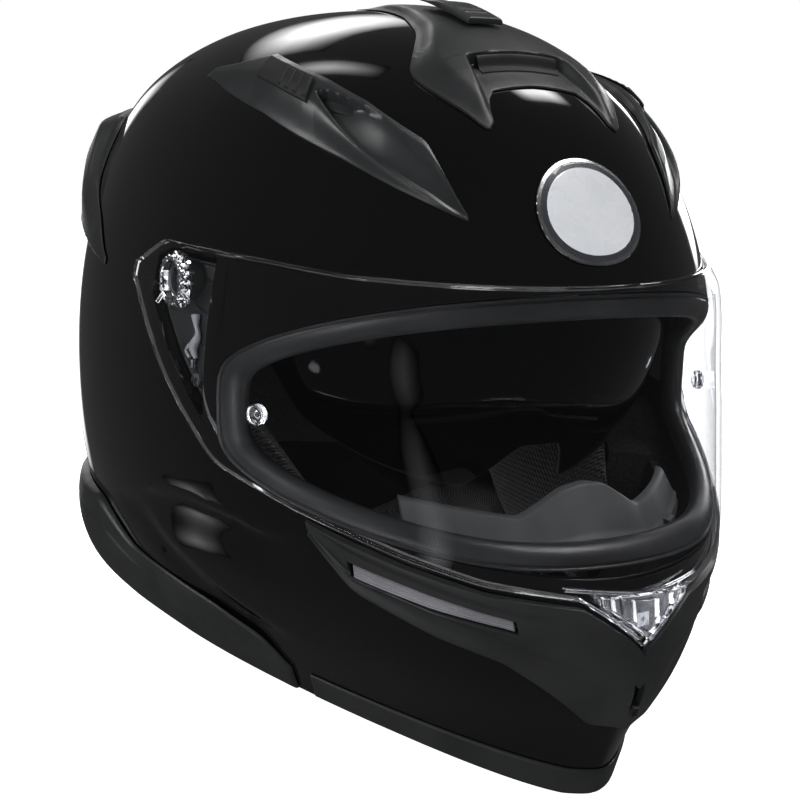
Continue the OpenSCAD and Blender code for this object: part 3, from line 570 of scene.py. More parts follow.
def woven_webbing():
    n = Nodes("woven_webbing")
    x, y, z = n.parts()
    warp = n.math("SINE", n.times(y, 2 * math.pi / (WARP_PITCH * MM)))
    run = n.plus(n.plus(x, z), n.times(n.math("ABSOLUTE", warp), 0.0006))
    weft = n.math("SINE", n.times(run, 2 * math.pi / (WEFT_PITCH * MM)))
    weave = n.plus(n.times(warp, 0.5), n.times(weft, 0.35))
    n.colour(n.ramp(n.plus(weave, n.noise(1200, 3)), 0.0, 1.3,
                    [(0.004, 0.004, 0.0045), (0.028, 0.028, 0.03)]))
    n.set(Sheen_Weight=0.2)
    n.rough(n.span(n.noise(300, 3), 0.6, 0.8))
    n.normal(n.bump(weave, 0.0003))
    return n.material


def metal(name, dark, light, rough, brush=(3000, 60, 60)):
    n = Nodes(name)
    stretch = n.add("ShaderNodeMapping")
    stretch.inputs["Scale"].default_value = brush
    n.link(n.place, stretch.inputs["Vector"])
    lines = n.add("ShaderNodeTexNoise")
    lines.inputs["Scale"].default_value = 1
    lines.inputs["Detail"].default_value = 4
    n.link(stretch.outputs["Vector"], lines.inputs["Vector"])
    n.set(Metallic=1.0)
    n.colour(n.ramp(lines.outputs["Fac"], 0.3, 0.7, [dark, light]))
    n.rough(n.span(lines.outputs["Fac"], rough, rough + 0.14))
    n.normal(n.bump(lines.outputs["Fac"], 0.00001))
    return n.material


def clear_sheet(name, tint, darker):
    """A clear or tinted sheet: it passes light straight through and mirrors by its angle.
    Only its front faces mirror, so that light leaves it again at every angle."""
    n = Nodes(name)
    through = n.add("ShaderNodeBsdfTransparent")
    through.inputs["Color"].default_value = (*tint, 1)
    haze = n.ramp(n.noise(9, 4), 0.35, 0.75, [tint, darker])
    n.link(haze, through.inputs["Color"])
    mirror = n.add("ShaderNodeBsdfGlossy")
    mirror.inputs["Color"].default_value = (0.96, 0.97, 1.0, 1)
    mirror.inputs["Roughness"].default_value = 0.0
    fresnel = n.add("ShaderNodeFresnel")
    fresnel.inputs["IOR"].default_value = 1.5
    facing = n.math("SUBTRACT", 1.0, n.add("ShaderNodeNewGeometry").outputs["Backfacing"])
    mix = n.add("ShaderNodeMixShader")
    n.link(n.times(fresnel.outputs["Fac"], facing), mix.inputs["Fac"])
    n.link(through.outputs[0], mix.inputs[1])
    n.link(mirror.outputs[0], mix.inputs[2])
    n.link(mix.outputs[0], n.out.inputs["Surface"])
    n.tree.nodes.remove(n.bsdf)
    return n.material


def clear_plastic(name, colour, rough=0.04, ripple=0.00004):
    """Thick clear moulded plastic that bends light."""
    n = Nodes(name)
    n.set(Base_Color=(*colour, 1), Transmission_Weight=1.0, IOR=1.58)
    n.rough(n.span(n.noise(160, 3), rough, rough + 0.08))
    n.normal(n.bump(n.noise(140, 2), ripple))
    return n.material


def enamel(name, colour):
    n = Nodes(name)
    n.set(Coat_Weight=0.8, Coat_Roughness=0.03)
    pale = tuple(min(1, 1.06 * k) for k in colour)
    n.colour(n.ramp(n.noise(70, 3), 0.3, 0.7, [colour, pale]))
    n.rough(n.span(n.noise(150, 3), 0.22, 0.34))
    n.normal(n.bump(n.noise(500, 2), 0.000006))
    return n.material


LACQUER = gloss_lacquer()
MATT = moulded("matt_plastic", (0.0075, 0.0079, 0.0083), (0.0125, 0.013, 0.0136), 0.42)
SATIN = moulded("satin_plastic", (0.0085, 0.009, 0.0095), (0.014, 0.0148, 0.0155), 0.34,
                0.00002, 1800)
GUARD = moulded("guard_plastic", (0.03, 0.032, 0.033), (0.045, 0.047, 0.049), 0.55)
DARK = moulded("dark_plastic", (0.003, 0.003, 0.0032), (0.006, 0.006, 0.0062), 0.6)
LOUVRE = moulded("louvre_plastic", (0.09, 0.09, 0.1), (0.14, 0.14, 0.15), 0.42, 0.0002, 1500)
LEVER = moulded("lever_plastic", (0.10, 0.105, 0.115), (0.17, 0.175, 0.19), 0.35, 0.00003, 900)
RUBBER = soft_rubber()
FOAM = bead_foam()
SIDE_MESH = spacer_mesh()
KNIT = brushed_knit()
WEBBING = woven_webbing()
STEEL = metal("bright_steel", (0.42, 0.42, 0.43), (0.62, 0.62, 0.64), 0.2)
DARK_STEEL = metal("dark_steel", (0.14, 0.14, 0.15), (0.26, 0.26, 0.27), 0.28)
VISOR_CLEAR = clear_sheet("visor_clear", (0.985, 0.985, 0.99), (0.97, 0.972, 0.98))
VISOR_RIM = clear_plastic("visor_rim", (0.97, 0.98, 1.0), 0.01, 0.00001)
CLEAR_PART = clear_plastic("clear_part", (0.94, 0.96, 1.0), 0.03, 0.0001)
SMOKE = clear_sheet("smoke_lens", (0.17, 0.175, 0.23), (0.14, 0.145, 0.2))
BADGE_RING = metal("badge_ring", (0.6, 0.6, 0.62), (0.78, 0.78, 0.8), 0.16, (80, 80, 80))
BADGE_FACE = enamel("badge_face", (0.42, 0.43, 0.45))
BADGE_DARK = enamel("badge_dark", (0.02, 0.022, 0.026))

# ------------------------------------------------------------------ shell
POCKET_DEPTH = 8.6
POCKET_FROM, POCKET_TO = 70, 83
SHELL_WALL = 3.8
RELIEF_TOP = 125
COLUMN_STEP = 1.25
BODY_ROWS, PORT_ROWS, CROWN_ROWS = 44, 26, 74
PORT_COLUMNS = [50, 53, 56, 58, 60, 61.5, 63, 64, 64.8, 65.5, 66, 66.3, 66.5]


# Four heights divide the shell: a and d bound the visor's band, b and c are the port's edges
def row_a(a):
    return lookup(a, [[0, 84]] + VISOR_LOW[2:])


def row_d(a):
    return lookup(a, VISOR_TOP[:4] + [[86, 192]])


def row_b(a):
    return np.where(np.abs(a) <= PORT_END, port_middle(a) - port_reach(a),
                    np.minimum(row_d(a) - 5, row_a(a) + 3))


def row_c(a):
    return np.where(np.abs(a) <= PORT_END, port_middle(a) + port_reach(a), row_d(a) - 3)


CREASE = [[50, 103], [55, 101], [59, 93], [61, 94], [66, 97], [74, 99], [79, 98], [83, 96],
          [92, 88], [104, 82]]
LOW_CREASE = [[56, 46], [65, 55], [72, 63], [78, 72], [85, 82], [96, 90]]


def relief(a, z):
    """Height of the two soft creases that run back from the chin, in millimetres."""
    b = np.abs(a)
    first = rounded(b, CREASE) - z
    second = rounded(b, LOW_CREASE) - z
    run = ease(b, 52, 60) * (1 - ease(b, 86, 100))
    low_run = ease(b, 56, 66) * (1 - ease(b, 80, 96))
    return (-2.2 * ease(first, -1.0, 2.6) * (1 - ease(first, 5, 26)) * run
            - 1.3 * ease(second, -0.8, 2.0) * (1 - ease(second, 4, 18)) * low_run)


def shell_angles():
    """Columns right round the shell, closer together at the port's ends and the pockets."""
    half = merged(np.arange(0, 50, COLUMN_STEP), PORT_COLUMNS, [67, 68, 69, 69.6, 70, 70.5],
                  np.arange(71.5, 82, COLUMN_STEP), [82.5, 83, 83.4],
                  np.arange(84.5, 180, COLUMN_STEP))
    a = merged(-half, half, [180.0])
    return a[(a > -180) & (a <= 180)]


def make_shell():
    a = shell_angles()
    low, za, zb, zc, zd = rim_height(a), row_a(a), row_b(a), row_c(a), row_d(a)
    under_port = (0.25, 0.5, 0.75, 0.9)
    levels = [low + (za - low) * t for t in np.linspace(0, 1, BODY_ROWS)]
    levels += [za + (zb - za) * t for t in under_port]
    levels += [zb + (zc - zb) * t for t in fringe(0, 1, PORT_ROWS - 8, 0.05)]
    levels += [zc + (zd - zc) * t for t in (0.25, 0.6)]
    stations = [at_height(z) for z in levels]
    top = at_height(zd)
    stations += [top + (LAST - 0.06 - top) * t for t in np.linspace(0, 1, CROWN_ROWS)]
    s = np.array(stations)
    grid_a = np.broadcast_to(a, s.shape)
    first = BODY_ROWS + len(under_port)
    last = first + PORT_ROWS - 1
    z = height_at(s)
    port_span = np.maximum(row_c(grid_a) - row_b(grid_a), 1)
    zone = np.clip((z - row_b(grid_a)) / port_span, -1, 2)
    pocket = (ease(np.abs(grid_a), 69.5, 70.5) * (1 - ease(np.abs(grid_a), 82.6, 83.4))
              * ease(zone, -0.015, 0.02) * (1 - ease(zone, 0.98, 1.015)))
    bump = relief(grid_a, z) * (z < RELIEF_TOP)
    outer = np.where((pocket > 0)[..., None], below(grid_a, s, POCKET_DEPTH * pocket),
                     skin(grid_a, s) + bump[..., None] * outward(grid_a, s))
    inner = below(grid_a, s, SHELL_WALL + POCKET_DEPTH * pocket)
    keep = np.ones((s.shape[0] - 1, s.shape[1]), bool)
    middle = (a + np.roll(a, -1)) / 2
    in_port = np.abs(middle) < PORT_END
    in_port[-1] = False
    keep[first:last, :] = ~in_port[None, :]
    poles = [skin(0.0, float(LAST)), below(0.0, float(LAST), SHELL_WALL)]
    piece = solid("shell", outer, inner, LACQUER, around=True, keep=keep, poles=poles,
                  slot="shell_gloss", sharp=28)
    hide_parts("outer_shell")


make_shell()


# ------------------------------------------------------------------ outside trim
def make_front_rim():
    piece = plate("front_rim_rubber", fringe(-57, 57, 90, 0.6), fringe(0, 1, 10, 0.15),
                  lambda a: rim_height(a) + 1.5, lambda a: rim_height(a) + 12,
                  lambda a, t: 2.0 - t * 0.7, constant(0.3), MATT, slot="trim_matte")
    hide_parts("front_rim")


def fold(a):
    """An angle from 0 to 360 as one from -180 to 180."""
    return np.where(a > 180, a - 360, a)


def make_rear_trim():
    def out(a, t):
        b = np.abs(fold(a))
        arch = np.sin(np.pi * np.clip(0.08 + 0.86 * t, 0, 1)) ** 0.7
        belly = (1 + 7.5 * ease(b, 84, 112)) * arch
        line = 0.9 * np.exp(-((t - 0.80) / 0.012) ** 2) * ease(b, 75, 95)
        return 1.6 + belly - line
    piece = plate("rear_skirt", fringe(60, 300, 150, 0.7), fringe(0, 1, 34, 0.03),
                  lambda a: rim_height(fold(a)) + 0.6, lambda a: rounded(fold(a), TRIM_TOP),
                  out, constant(0.45), MATT, edge=1.6, slot="trim_matte")
    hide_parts("rear_trim")


def make_spoiler():
    def out(a, t):
        b = np.abs(fold(a))
        slope = (0.35 + 0.65 * ease(t, 0, 0.6)) * (1 - 0.7 * ease(t, 0.82, 1))
        wing = 9.0 * ease(b, 106, 134) * slope
        run = ease(b, 128, 136) * (1 - ease(b, 165, 172))
        slot = 4.5 * np.exp(-((t - 0.42) / 0.05) ** 2) * run
        return 1.2 + wing - slot
    piece = plate("rear_wing", fringe(99, 261, 120, 0.6), fringe(0, 1, 44, 0.03),
                  lambda a: lookup(fold(a), SPOILER_LOW), lambda a: rounded(fold(a), SPOILER_TOP),
                  out, constant(0.4), MATT, edge=1.8, slot="trim_matte")
    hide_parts("rear_spoiler")


# Edges of the brow vent's scoop, as shares of the vent's width
RIDGE = [[24, 0.0], [31, 0.09], [37, 0.14], [44, 0.22], [48, 0.34], [52, 0.5], [55, 0.63],
         [56, 0.7]]
ROOF = [[24, 0.99], [31, 0.95], [40, 0.92], [46, 0.88], [51, 0.82], [55, 0.76], [56, 0.7]]


SLIDER_FROM, SLIDER_TO = 57, 74


def brow_low(a):
    return rounded(a, BROW_LOW, 1.5)


def brow_top(a):
    return rounded(a, BROW_TOP, 1.5)


def brow_height(a, t):
    """The brow vent: a raised back, and in front of it a scoop that runs down to the tip."""
    b = np.abs(a)
    ridge, roof = rounded(b, RIDGE, 0.8), rounded(b, ROOF, 0.8)
    crest = np.interp(b, [24, 30, 37, 44, 52, 58, 66, 80, 95],
                      [0.9, 2.0, 3.2, 4.4, 5.6, 6.2, 5.8, 3.6, 1.0])
    peak = np.interp(b, [24, 37, 44, 50, 55, 62], [0.08, 0.16, 0.24, 0.4, 0.55, 0.6])
    body = 0.8 + (crest - 0.8) * ease(t, 0, peak) * (1 - 0.35 * ease(t, 0.86, 1))
    wide = brow_top(a) - brow_low(a)
    into = ease((t - ridge) * wide, 0.0, 2.4) * ease((roof - t) * wide, 0.0, 1.3) * (b < 56)
    mouth = ease(b, 44, 52) * ease((roof - t) * wide, 5.5, 2.5)
    floor = np.interp(b, [24, 30, 40, 48, 56], [0.7, 0.9, 1.1, 0.9, 0.8])
    swell_up = 2.2 * ease(t, 0.3, 0.8) * (1 - ease(b, 38, 50)) * ease(b, 26, 34)
    scoop = floor + swell_up - 0.3 * mouth
    return body * (1 - into) + np.minimum(scoop, body) * into


def make_brow_vents():
    half = merged(np.linspace(24, 54, 61), np.linspace(54, 59, 26), np.linspace(59, 95, 44))
    shares = merged(fringe(0, 1, 30, 0.03), np.linspace(0, 0.7, 50))
    half_mouth = fringe(46, 54.6, 30, 0.3)

    def in_mouth(back):
        return lambda a: brow_low(a) + (lookup(a, ROOF) - back) * (brow_top(a) - brow_low(a))

    for side, word in SIDES:
        piece = plate("brow_scoop_" + word, mirrored(half, side), shares, brow_low, brow_top,
                      brow_height, constant(0.3), SATIN, edge=0.8, slot="trim_matte", sharp=40)
        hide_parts("brow_vent_" + word)
        plate("brow_intake_" + word, mirrored(half_mouth, side), fringe(0, 1, 8, 0.05),
              in_mouth(0.19), in_mouth(0.02), lambda a, t: 1.1 + 0.35 * ease(np.abs(a), 46, 50),
              constant(0.6), DARK, edge=0.6, slot="trim_matte")


def make_brow_sliders():
    def under(a, t):
        return brow_height(a, 0.42 + 0.38 * t)

    def out(a, t):
        b = np.abs(a)
        rib = (np.sin((b - SLIDER_FROM) * np.pi / 1.3) > 0.1) * (b < 65.5)
        rib = rib * (t > 0.12) * (t < 0.88)
        return under(a, t) + 1.2 + 0.3 * ease(b, 72, 58) + 0.64 * rib

    half = fringe(SLIDER_FROM, SLIDER_TO, 90, 0.4)
    for side, word in SIDES:
        piece = plate("brow_slide_" + word, mirrored(half, side), fringe(0, 1, 20, 0.06),
                      lambda a: brow_low(a) + 0.46 * (brow_top(a) - brow_low(a)),
                      lambda a: brow_low(a) + 0.86 * (brow_top(a) - brow_low(a)),
                      out, lambda a, t: under(a, t) + 0.9, DARK, edge=0.7,
                      body="brow_slider_" + word, slot="trim_matte", sharp=40)
        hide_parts("brow_slider_" + word)


def crown_station(x, y):
    """The station coordinate of the skin over a point of the plan, by halving."""
    low = np.full(np.shape(x), 4.0)
    high = np.full(np.shape(x), float(LAST))
    for _ in range(24):
        mid = (low + high) / 2
        _, w, front, rear, pf = station(mid)
        p = np.where(y < 0, pf, BACK_ROUNDNESS)
        reach = np.where(y < 0, front, rear)
        across = (np.abs(x) / np.maximum(w, 0.01)) ** p
        along = (np.abs(y) / np.maximum(reach, 0.01)) ** p
        inside = across + along < 1
        low, high = np.where(inside, mid, low), np.where(inside, high, mid)
    return (low + high) / 2


def crown(x, y):
    return np.stack([KX * x, CENTRE_Y + KY * y, KZ * height_at(crown_station(x, y))], -1)


def over_crown(x, y, d):
    n = unit(np.cross(crown(x + 2, y) - crown(x - 2, y), crown(x, y + 2) - crown(x, y - 2)))
    return crown(x, y) + np.asarray(d)[..., None] * n


VENT_HALF = [[-120, 30], [-114, 32], [-106, 36], [-98, 40.5], [-88, 44.5], [-80, 45],
             [-66, 34], [-55, 26], [-30, 17], [20, 9]]
VENT_FRONT, VENT_BACK = -116, 20
HOOD_Y = -84
CROWN_SLIDE_FRONT, CROWN_SLIDE_LENGTH = -63, 38
BADGE_HEIGHT, BADGE_HALF_HEIGHT, BADGE_HALF_ANGLE = 220, 19, 11


def vent_half(y):
    xs, ys = zip(*VENT_HALF)
    return sum(np.interp(y + k, xs, ys) for k in (-3, -1, 1, 3)) / 4


def crown_front(x):
    """The vent's front edge: two pointed tips with a wide notch between them."""
    b = np.abs(x)
    return np.interp(b, [0, 10, 20, 23, 27, 30.5, 34, 39, 46],
                     [-100, -100.5, -101, -106, -113, -115, -110, -102, -90])


def crown_height(x, y):
    """The hood, the two wings that run forward from it and the sunken intake between them."""
    half = vent_half(y)
    side = np.clip(np.abs(x) / half, 0, 1)
    hood = 5.0 * (1 - 0.85 * ease(y, -20, 20)) * (1 - 0.3 * ease(y, -70, -30))
    wing = np.interp(y, [-116, -110, -100, -92, HOOD_Y], [1.4, 2.8, 4.4, 5.0, 5.2])
    body = np.where(y > HOOD_Y, hood, wing)
    body = 0.7 + (body - 0.7) * (1 - ease(side, 0.72, 1.0) * np.where(y > -72, 1, 0.8))
    inner = np.interp(y, [-116, -108, -102, -96, HOOD_Y], [29, 27, 25.5, 24, 21])
    hollow = ease(inner - np.abs(x), -2.5, 1.5) * (1 - ease(y, HOOD_Y - 1.4, HOOD_Y + 0.2))
    floor = 0.5 + 0.5 * ease(y, -92, -99)
    return body * (1 - hollow) + floor * hollow


def make_crown_vent():
    share = merged(fringe(-1, 1, 60, 0.03), np.linspace(-0.65, -0.4, 16),
                   np.linspace(0.4, 0.65, 16))
    depth = merged(fringe(0, 1, 80, 0.012), np.linspace(0.12, 0.25, 26))
    u, v = np.meshgrid(share, depth)
    y = VENT_FRONT + (VENT_BACK - VENT_FRONT) * v
    x = u * vent_half(y)
    for _ in range(3):
        front = crown_front(x)
        y = front + (VENT_BACK - front) * v
        x = u * vent_half(y)
    ground = crown(x, y)
    lift = 0.3 + (crown_height(x, y) - 0.3) * rounding(ground, 0.9, 0.12)
    piece = solid("crown_vent", over_crown(x, y, lift), over_crown(x, y, np.full(x.shape, 0.25)),
                  MATT, slot="trim_matte", sharp=40)
    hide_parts("crown_vent_body")
    u, v = np.meshgrid(fringe(-18.5, 18.5, 20, 0.6), fringe(-91, HOOD_Y - 1.2, 10, 0.4))
    solid("crown_intake", over_crown(u, v, 0.9 + 3.6 * ease(v, -89, HOOD_Y - 1.2)),
          over_crown(u, v, np.full(u.shape, 0.7)), DARK, slot="trim_matte")


def make_crown_slider():
    u, v = np.meshgrid(fringe(-1, 1, 30, 0.08), fringe(0, 1, 90, 0.02))
    y = CROWN_SLIDE_FRONT + CROWN_SLIDE_LENGTH * v
    half = 8.2 - 2.2 * ease(v, 0.45, 1.0)
    x = u * half
    grooves = sum(np.exp(-((y + c) / 0.75) ** 4) for c in (56.5, 52.3, 48.1))
    grooves = grooves * (1 - ease(np.abs(u), 0.60, 0.68))
    high = 8.6 - 1.5 * ease(y, -42, -28) - 1.0 * grooves
    low = np.full(x.shape, 6.2)
    top = low + (high - low) * rounding(crown(x, y), 1.1, 0.1)
    piece = solid("crown_slide", over_crown(x, y, top), over_crown(x, y, low), MATT,
                  body="crown_slider", slot="trim_matte", sharp=40)
    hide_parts("crown_vent_slider")


def badge_reach(a, scale):
    share = np.minimum(np.abs(a) / (BADGE_HALF_ANGLE * scale), 0.999)
    return BADGE_HALF_HEIGHT * scale * np.sqrt(1 - share ** 2)


def make_badge():
    """A plain round badge: a metal ring round an enamel field."""
    layers = (("badge_ring", 1.0, 1.3, BADGE_RING), ("badge_band", 0.93, 1.5, BADGE_DARK),
              ("badge_field", 0.82, 1.7, BADGE_FACE))
    for name, scale, out, material in layers:
        reach = 0.999 * BADGE_HALF_ANGLE * scale
        angles = reach * np.sin(np.linspace(-np.pi / 2, np.pi / 2, 50))
        piece = plate(name, angles, fringe(0, 1, 16, 0.04),
                      lambda a, k=scale: BADGE_HEIGHT - badge_reach(a, k),
                      lambda a, k=scale: BADGE_HEIGHT + badge_reach(a, k),
                      constant(out), constant(0.4), material, edge=0.5, slot="badge_face")
        if name == "badge_ring":
            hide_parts("badge")


make_front_rim()
make_rear_trim()
make_spoiler()
make_brow_vents()
make_brow_sliders()
make_crown_vent()
make_crown_slider()
make_badge()


# ------------------------------------------------------------------ chin
SLOT_FROM, SLOT_TO = 24, 47
SLOT_LOW, SLOT_TOP = 0.45, 0.7
BUTTON_HALF, BUTTON_LOW, BUTTON_TOP = 2.2, 0.22, 0.44
SWITCH_WIDE, SWITCH_HIGH, SWITCH_PLACE = 1.55, 2.05, 42.2
SLOT_FLOOR = [[0, 0.58], [24, 0.57], [39, 0.42], [47, 0.30], [53, 0.30]]
SLOT_ROOF = [[0, 0.71], [24, 0.72], [39, 0.68], [47, 0.60], [53, 0.58]]


def mask_low(a):
    return rounded(a, MASK_LOW, 1.5)


def mask_top(a):
    return lookup(a, VISOR_LOW) - 2


def mask_row(a, t):
    """Height over the ground of the mask's row t; the slot's two edges are rows of their own."""
    floor, roof = lookup(a, SLOT_FLOOR), lookup(a, SLOT_ROOF)
    in_slot = floor + (t - SLOT_LOW) / (SLOT_TOP - SLOT_LOW) * (roof - floor)
    over_slot = roof + (t - SLOT_TOP) / (1 - SLOT_TOP) * (1 - roof)
    share = np.where(t < SLOT_LOW, t / SLOT_LOW * floor,
                     np.where(t < SLOT_TOP, in_slot, over_slot))
    return mask_low(a) + share * (mask_top(a) - mask_low(a))


def mask_height(a, t):
    """How far the chin's cover stands out: a brow over a crease, a keel, and lips at the slots."""
    b = np.abs(a)
    t = (mask_row(a, t) - mask_low(a)) / (mask_top(a) - mask_low(a))
    crease = lookup(b, [[0, 0.52], [12, 0.50], [20, 0.42], [24, 0.40], [47, 0.42], [53, 0.5]])
    brow = 1.1 * ease(t, crease + 0.38, crease + 0.48)
    under = ease(crease + 0.03 - t, -0.02, 0.10) * (1 - ease(crease - t, 0.14, 0.42))
    tuck = 1.6 * under * ease(b, 8, 16)
    keel = 0.9 * (1 - ease(b, 0, 7)) * (1 - ease(t, 0.45, 0.6))
    lip = 0.8 * ease(b, SLOT_FROM - 2.5, SLOT_FROM) * (1 - ease(b, SLOT_TO, SLOT_TO + 2)) * (
        np.exp(-((t - lookup(b, SLOT_FLOOR) + 0.03) / 0.03) ** 2))
    return 2.5 + brow - 0.7 * tuck + keel + lip


def make_mask():
    half = merged(fringe(0, 52.5, 60, 0.4),
                  [BUTTON_HALF, 2.5, SLOT_FROM - 0.3, SLOT_FROM, SLOT_TO, SLOT_TO + 0.3])
    angles = merged(-half, half)
    shares = merged(fringe(0, 1, 44, 0.03), [BUTTON_LOW, BUTTON_TOP, SLOT_LOW, SLOT_LOW + 0.01,
                                             SLOT_TOP - 0.01, SLOT_TOP])
    a = (angles[:-1] + angles[1:]) / 2
    t = (shares[:-1] + shares[1:]) / 2
    grid_a, grid_t = np.meshgrid(a, t)
    b = np.abs(grid_a)
    slot = (b > SLOT_FROM) & (b < SLOT_TO) & (grid_t > SLOT_LOW) & (grid_t < SLOT_TOP)
    button = (b < BUTTON_HALF) & (grid_t > BUTTON_LOW) & (grid_t < BUTTON_TOP)
    piece = plate("chin_cover", angles, shares, mask_low, mask_top, mask_height, constant(0.35),
                  MATT, edge=1.0, keep=~(slot | button), row=mask_row, slot="trim_matte", sharp=36)
    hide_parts("chin_mask")


def make_louvres():
    half = fringe(SLOT_FROM + 0.5, SLOT_TO - 0.5, 60, 0.3)
    for side, word in SIDES:
        piece = plate("chin_louvre_" + word, mirrored(half, side), fringe(0, 1, 20, 0.04),
                      lambda a: mask_row(a, SLOT_LOW) + 0.4, lambda a: mask_row(a, SLOT_TOP) - 0.4,
                      lambda a, t: 1.1 + 1.0 * (1 - t) + 0.25 * (np.sin(t * 40) > 0.3),
                      constant(0.4), LOUVRE, edge=0.5, slot="louver_grey")
        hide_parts("louver_" + word)


def make_button():
    place, side, up, out = on_shell(0, SWITCH_PLACE, 0.5)
    u, v = np.meshgrid(fringe(-SWITCH_WIDE, SWITCH_WIDE, 14, 0.3),
                       fringe(-SWITCH_HIGH, SWITCH_HIGH, 24, 0.35))
    near = np.minimum(np.minimum(SWITCH_WIDE - np.abs(u), SWITCH_HIGH - np.abs(v)) / 0.4, 1)
    ribs = 0.35 * (np.sin(v * 5.2) > 0)
    high = 1.0 + 3.1 * (0.3 + 0.7 * np.sqrt(1 - (1 - near) ** 2)) - ribs * (np.abs(v) < 1.6)
    flat = place + u[..., None] * side + v[..., None] * up
    piece = solid("chin_switch", flat + high[..., None] * out, flat, DARK, body="chin_button",
                  slot="trim_matte")
    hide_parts("chin_vent_button")


def make_guard():
    piece = plate("nose_guard", fringe(-38, 38, 90, 0.6), fringe(0, 1, 30, 0.05),
                  lambda a: port_floor(a) + 1,
                  lambda a: rounded(a, [[0, 119], [6, 117], [16, 107], [38, 112]], 2.0),
                  lambda a, t: -(12 + 6 * t) + 0.8 * np.exp(-((t - 0.3) / 0.05) ** 2),
                  lambda a, t: -(14.2 + 6 * t), GUARD, edge=1.0, slot="guard_grey")
    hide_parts("breath_guard")
    for k, angle in enumerate((-24, 0, 24)):
        plate("guard_clip_%d" % (k + 1), fringe(angle - 1.6, angle + 1.6, 10, 0.2),
              fringe(0, 1, 10, 0.06), lambda a: port_floor(a) - 0.5, lambda a: port_floor(a) + 7,
              lambda a, t: -(9.6 + 1.6 * t), lambda a, t: -(11.8 + 1.6 * t), MATT, edge=0.7,
              slot="guard_grey")


make_mask()
make_louvres()
make_button()
make_guard()


# ------------------------------------------------------------------ eye-port gasket
def port_ring(margin, depth, count=260):
    """A loop round the port, margin inside its edge and at a depth under the skin."""
    q = np.linspace(0, 2 * np.pi, count, endpoint=False)
    end = PORT_ANGLE - margin / 1.95
    a = end * power(np.cos(q), 0.42)
    edge = np.minimum(1, np.abs(a) / end)
    reach = (port_half(a) - margin) * (1 - edge ** 5) ** 0.2
    z = port_middle(a) + np.sign(np.sin(q)) * reach
    return layer(a, at_height(z), depth)


def smooth_loop(points, times):
    for _ in range(times):
        points = 0.5 * points + 0.25 * (np.roll(points, 1, 0) + np.roll(points, -1, 0))
    return points


def make_gasket():
    section = [[0.4, 0.35], [0.3, -3], [0.4, -7], [2.5, -8.2], [5.4, -8.5], [7.6, -8.0],
               [8.8, -7.0], [9.1, -5.2], [8.8, -3.6], [7.6, -2.0], [5.6, -0.7], [3.8, -0.1],
               [2.4, 0.1], [1.9, -0.5], [1.4, -0.5], [1.0, 0.2]]
    rings = [smooth_loop(port_ring(m, d), 10) for m, d in section]
    points = np.stack(rings, 1).reshape(-1, 3)
    faces = [[a, d, c, b] for a, b, c, d in ring_faces(len(rings[0]), len(section), True)]
    piece = mesh_piece("port_gasket", (points, faces), RUBBER, slot="rubber_black", sharp=50)
    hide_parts("eyeport_gasket")


make_gasket()


# ------------------------------------------------------------------ clear visor
VISOR_WALL = 2.2
VISOR_RIM_WIDTH = 1.5
PIN_ANGLE, PIN_HEIGHT = 59, 140
PIN_PROFILE = [(0.01, 0.15), (1.2, 0.15), (1.4, 0.0), (3.1, 0.0), (3.7, 0.3), (4.0, 0.9),
               (4.0, 3.2), (3.4, 3.7), (0.01, 3.7)]
# The latch tab's ribs, as pairs of (angle, height)
TAB_RIBS = (((2.0, 70), (13.5, 85.5)), ((2.2, 86), (15.5, 88.5)), ((3.2, 76), (7.4, 76.6)),
            ((7.4, 76.6), (10.6, 87)))


def visor_low(a):
    b = np.abs(a)
    return np.where(b < 16, lookup(b, VISOR_LOW), rounded(b, VISOR_LOW, 2.0))


def visor_top(a):
    return rounded(a, VISOR_TOP, 1.5)


def visor_lift(a, t):
    """Gap between the shell and the visor: wide under its ears, with a roll near its top."""
    b = np.abs(a)
    return (1 + 3.4 * ease(b, 46, 72)
            + 2.2 * ease(t, 0.55, 0.9) * (1 - ease(t, 0.9, 1)) * (1 - ease(b, 40, 70)))


def make_visor():
    angles = fringe(-86, 86, 180, 0.7)
    shares = merged(fringe(0, 1, 60, 0.02), np.linspace(0.86, 1, 16))
    a, t = np.meshgrid(angles, shares)
    s = at_height(visor_low(a) + (visor_top(a) - visor_low(a)) * t)
    inner = above(a, s, visor_lift(a, t))
    wall = VISOR_WALL * rounding(inner, 1.6, 0.25)
    outer = above(a, s, visor_lift(a, t) + wall)
    piece = solid("visor_shield", outer, inner, [VISOR_CLEAR, VISOR_RIM], body="visor",
                  slot="clear_visor", sharp=60)
    near_rim = border_distance(inner) < VISOR_RIM_WIDTH
    flags = np.concatenate([near_rim.ravel(), near_rim.ravel()])
    for polygon in piece.data.polygons:
        if all(flags[v] for v in polygon.vertices):
            polygon.material_index = 1
    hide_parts("visor")


def make_latch_tab():
    """The moulded tab in the visor's pointed lower edge, with its stiffening ribs."""
    def out(a, t):
        return 6.1 - 1.5 * (np.sin(np.abs(a) * 1.6) > 0.2) * (t > 0.2) * (t < 0.85)

    piece = plate("visor_tab", fringe(-10, 10, 40, 0.3), fringe(0, 1, 24, 0.05),
                  lambda a: 69 + np.abs(a) * 1.4, constant(86),
                  out, constant(3.75), CLEAR_PART, edge=0.7, body="visor_latch",
                  slot="clear_detail", sharp=35)
    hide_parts("visor_latch")
    parts = []
    for side in (LEFT, RIGHT):
        for start, end in TAB_RIBS:
            t = np.linspace(0, 1, 12)
            a = side * (start[0] + (end[0] - start[0]) * t)
            z = start[1] + (end[1] - start[1]) * t
            parts.append(tube(above(a, at_height(z), np.full(a.shape, 2.55)), 0.55, 8))
    mesh_piece("visor_tab_ribs", join_parts(parts), CLEAR_PART, body="visor", slot="clear_detail")


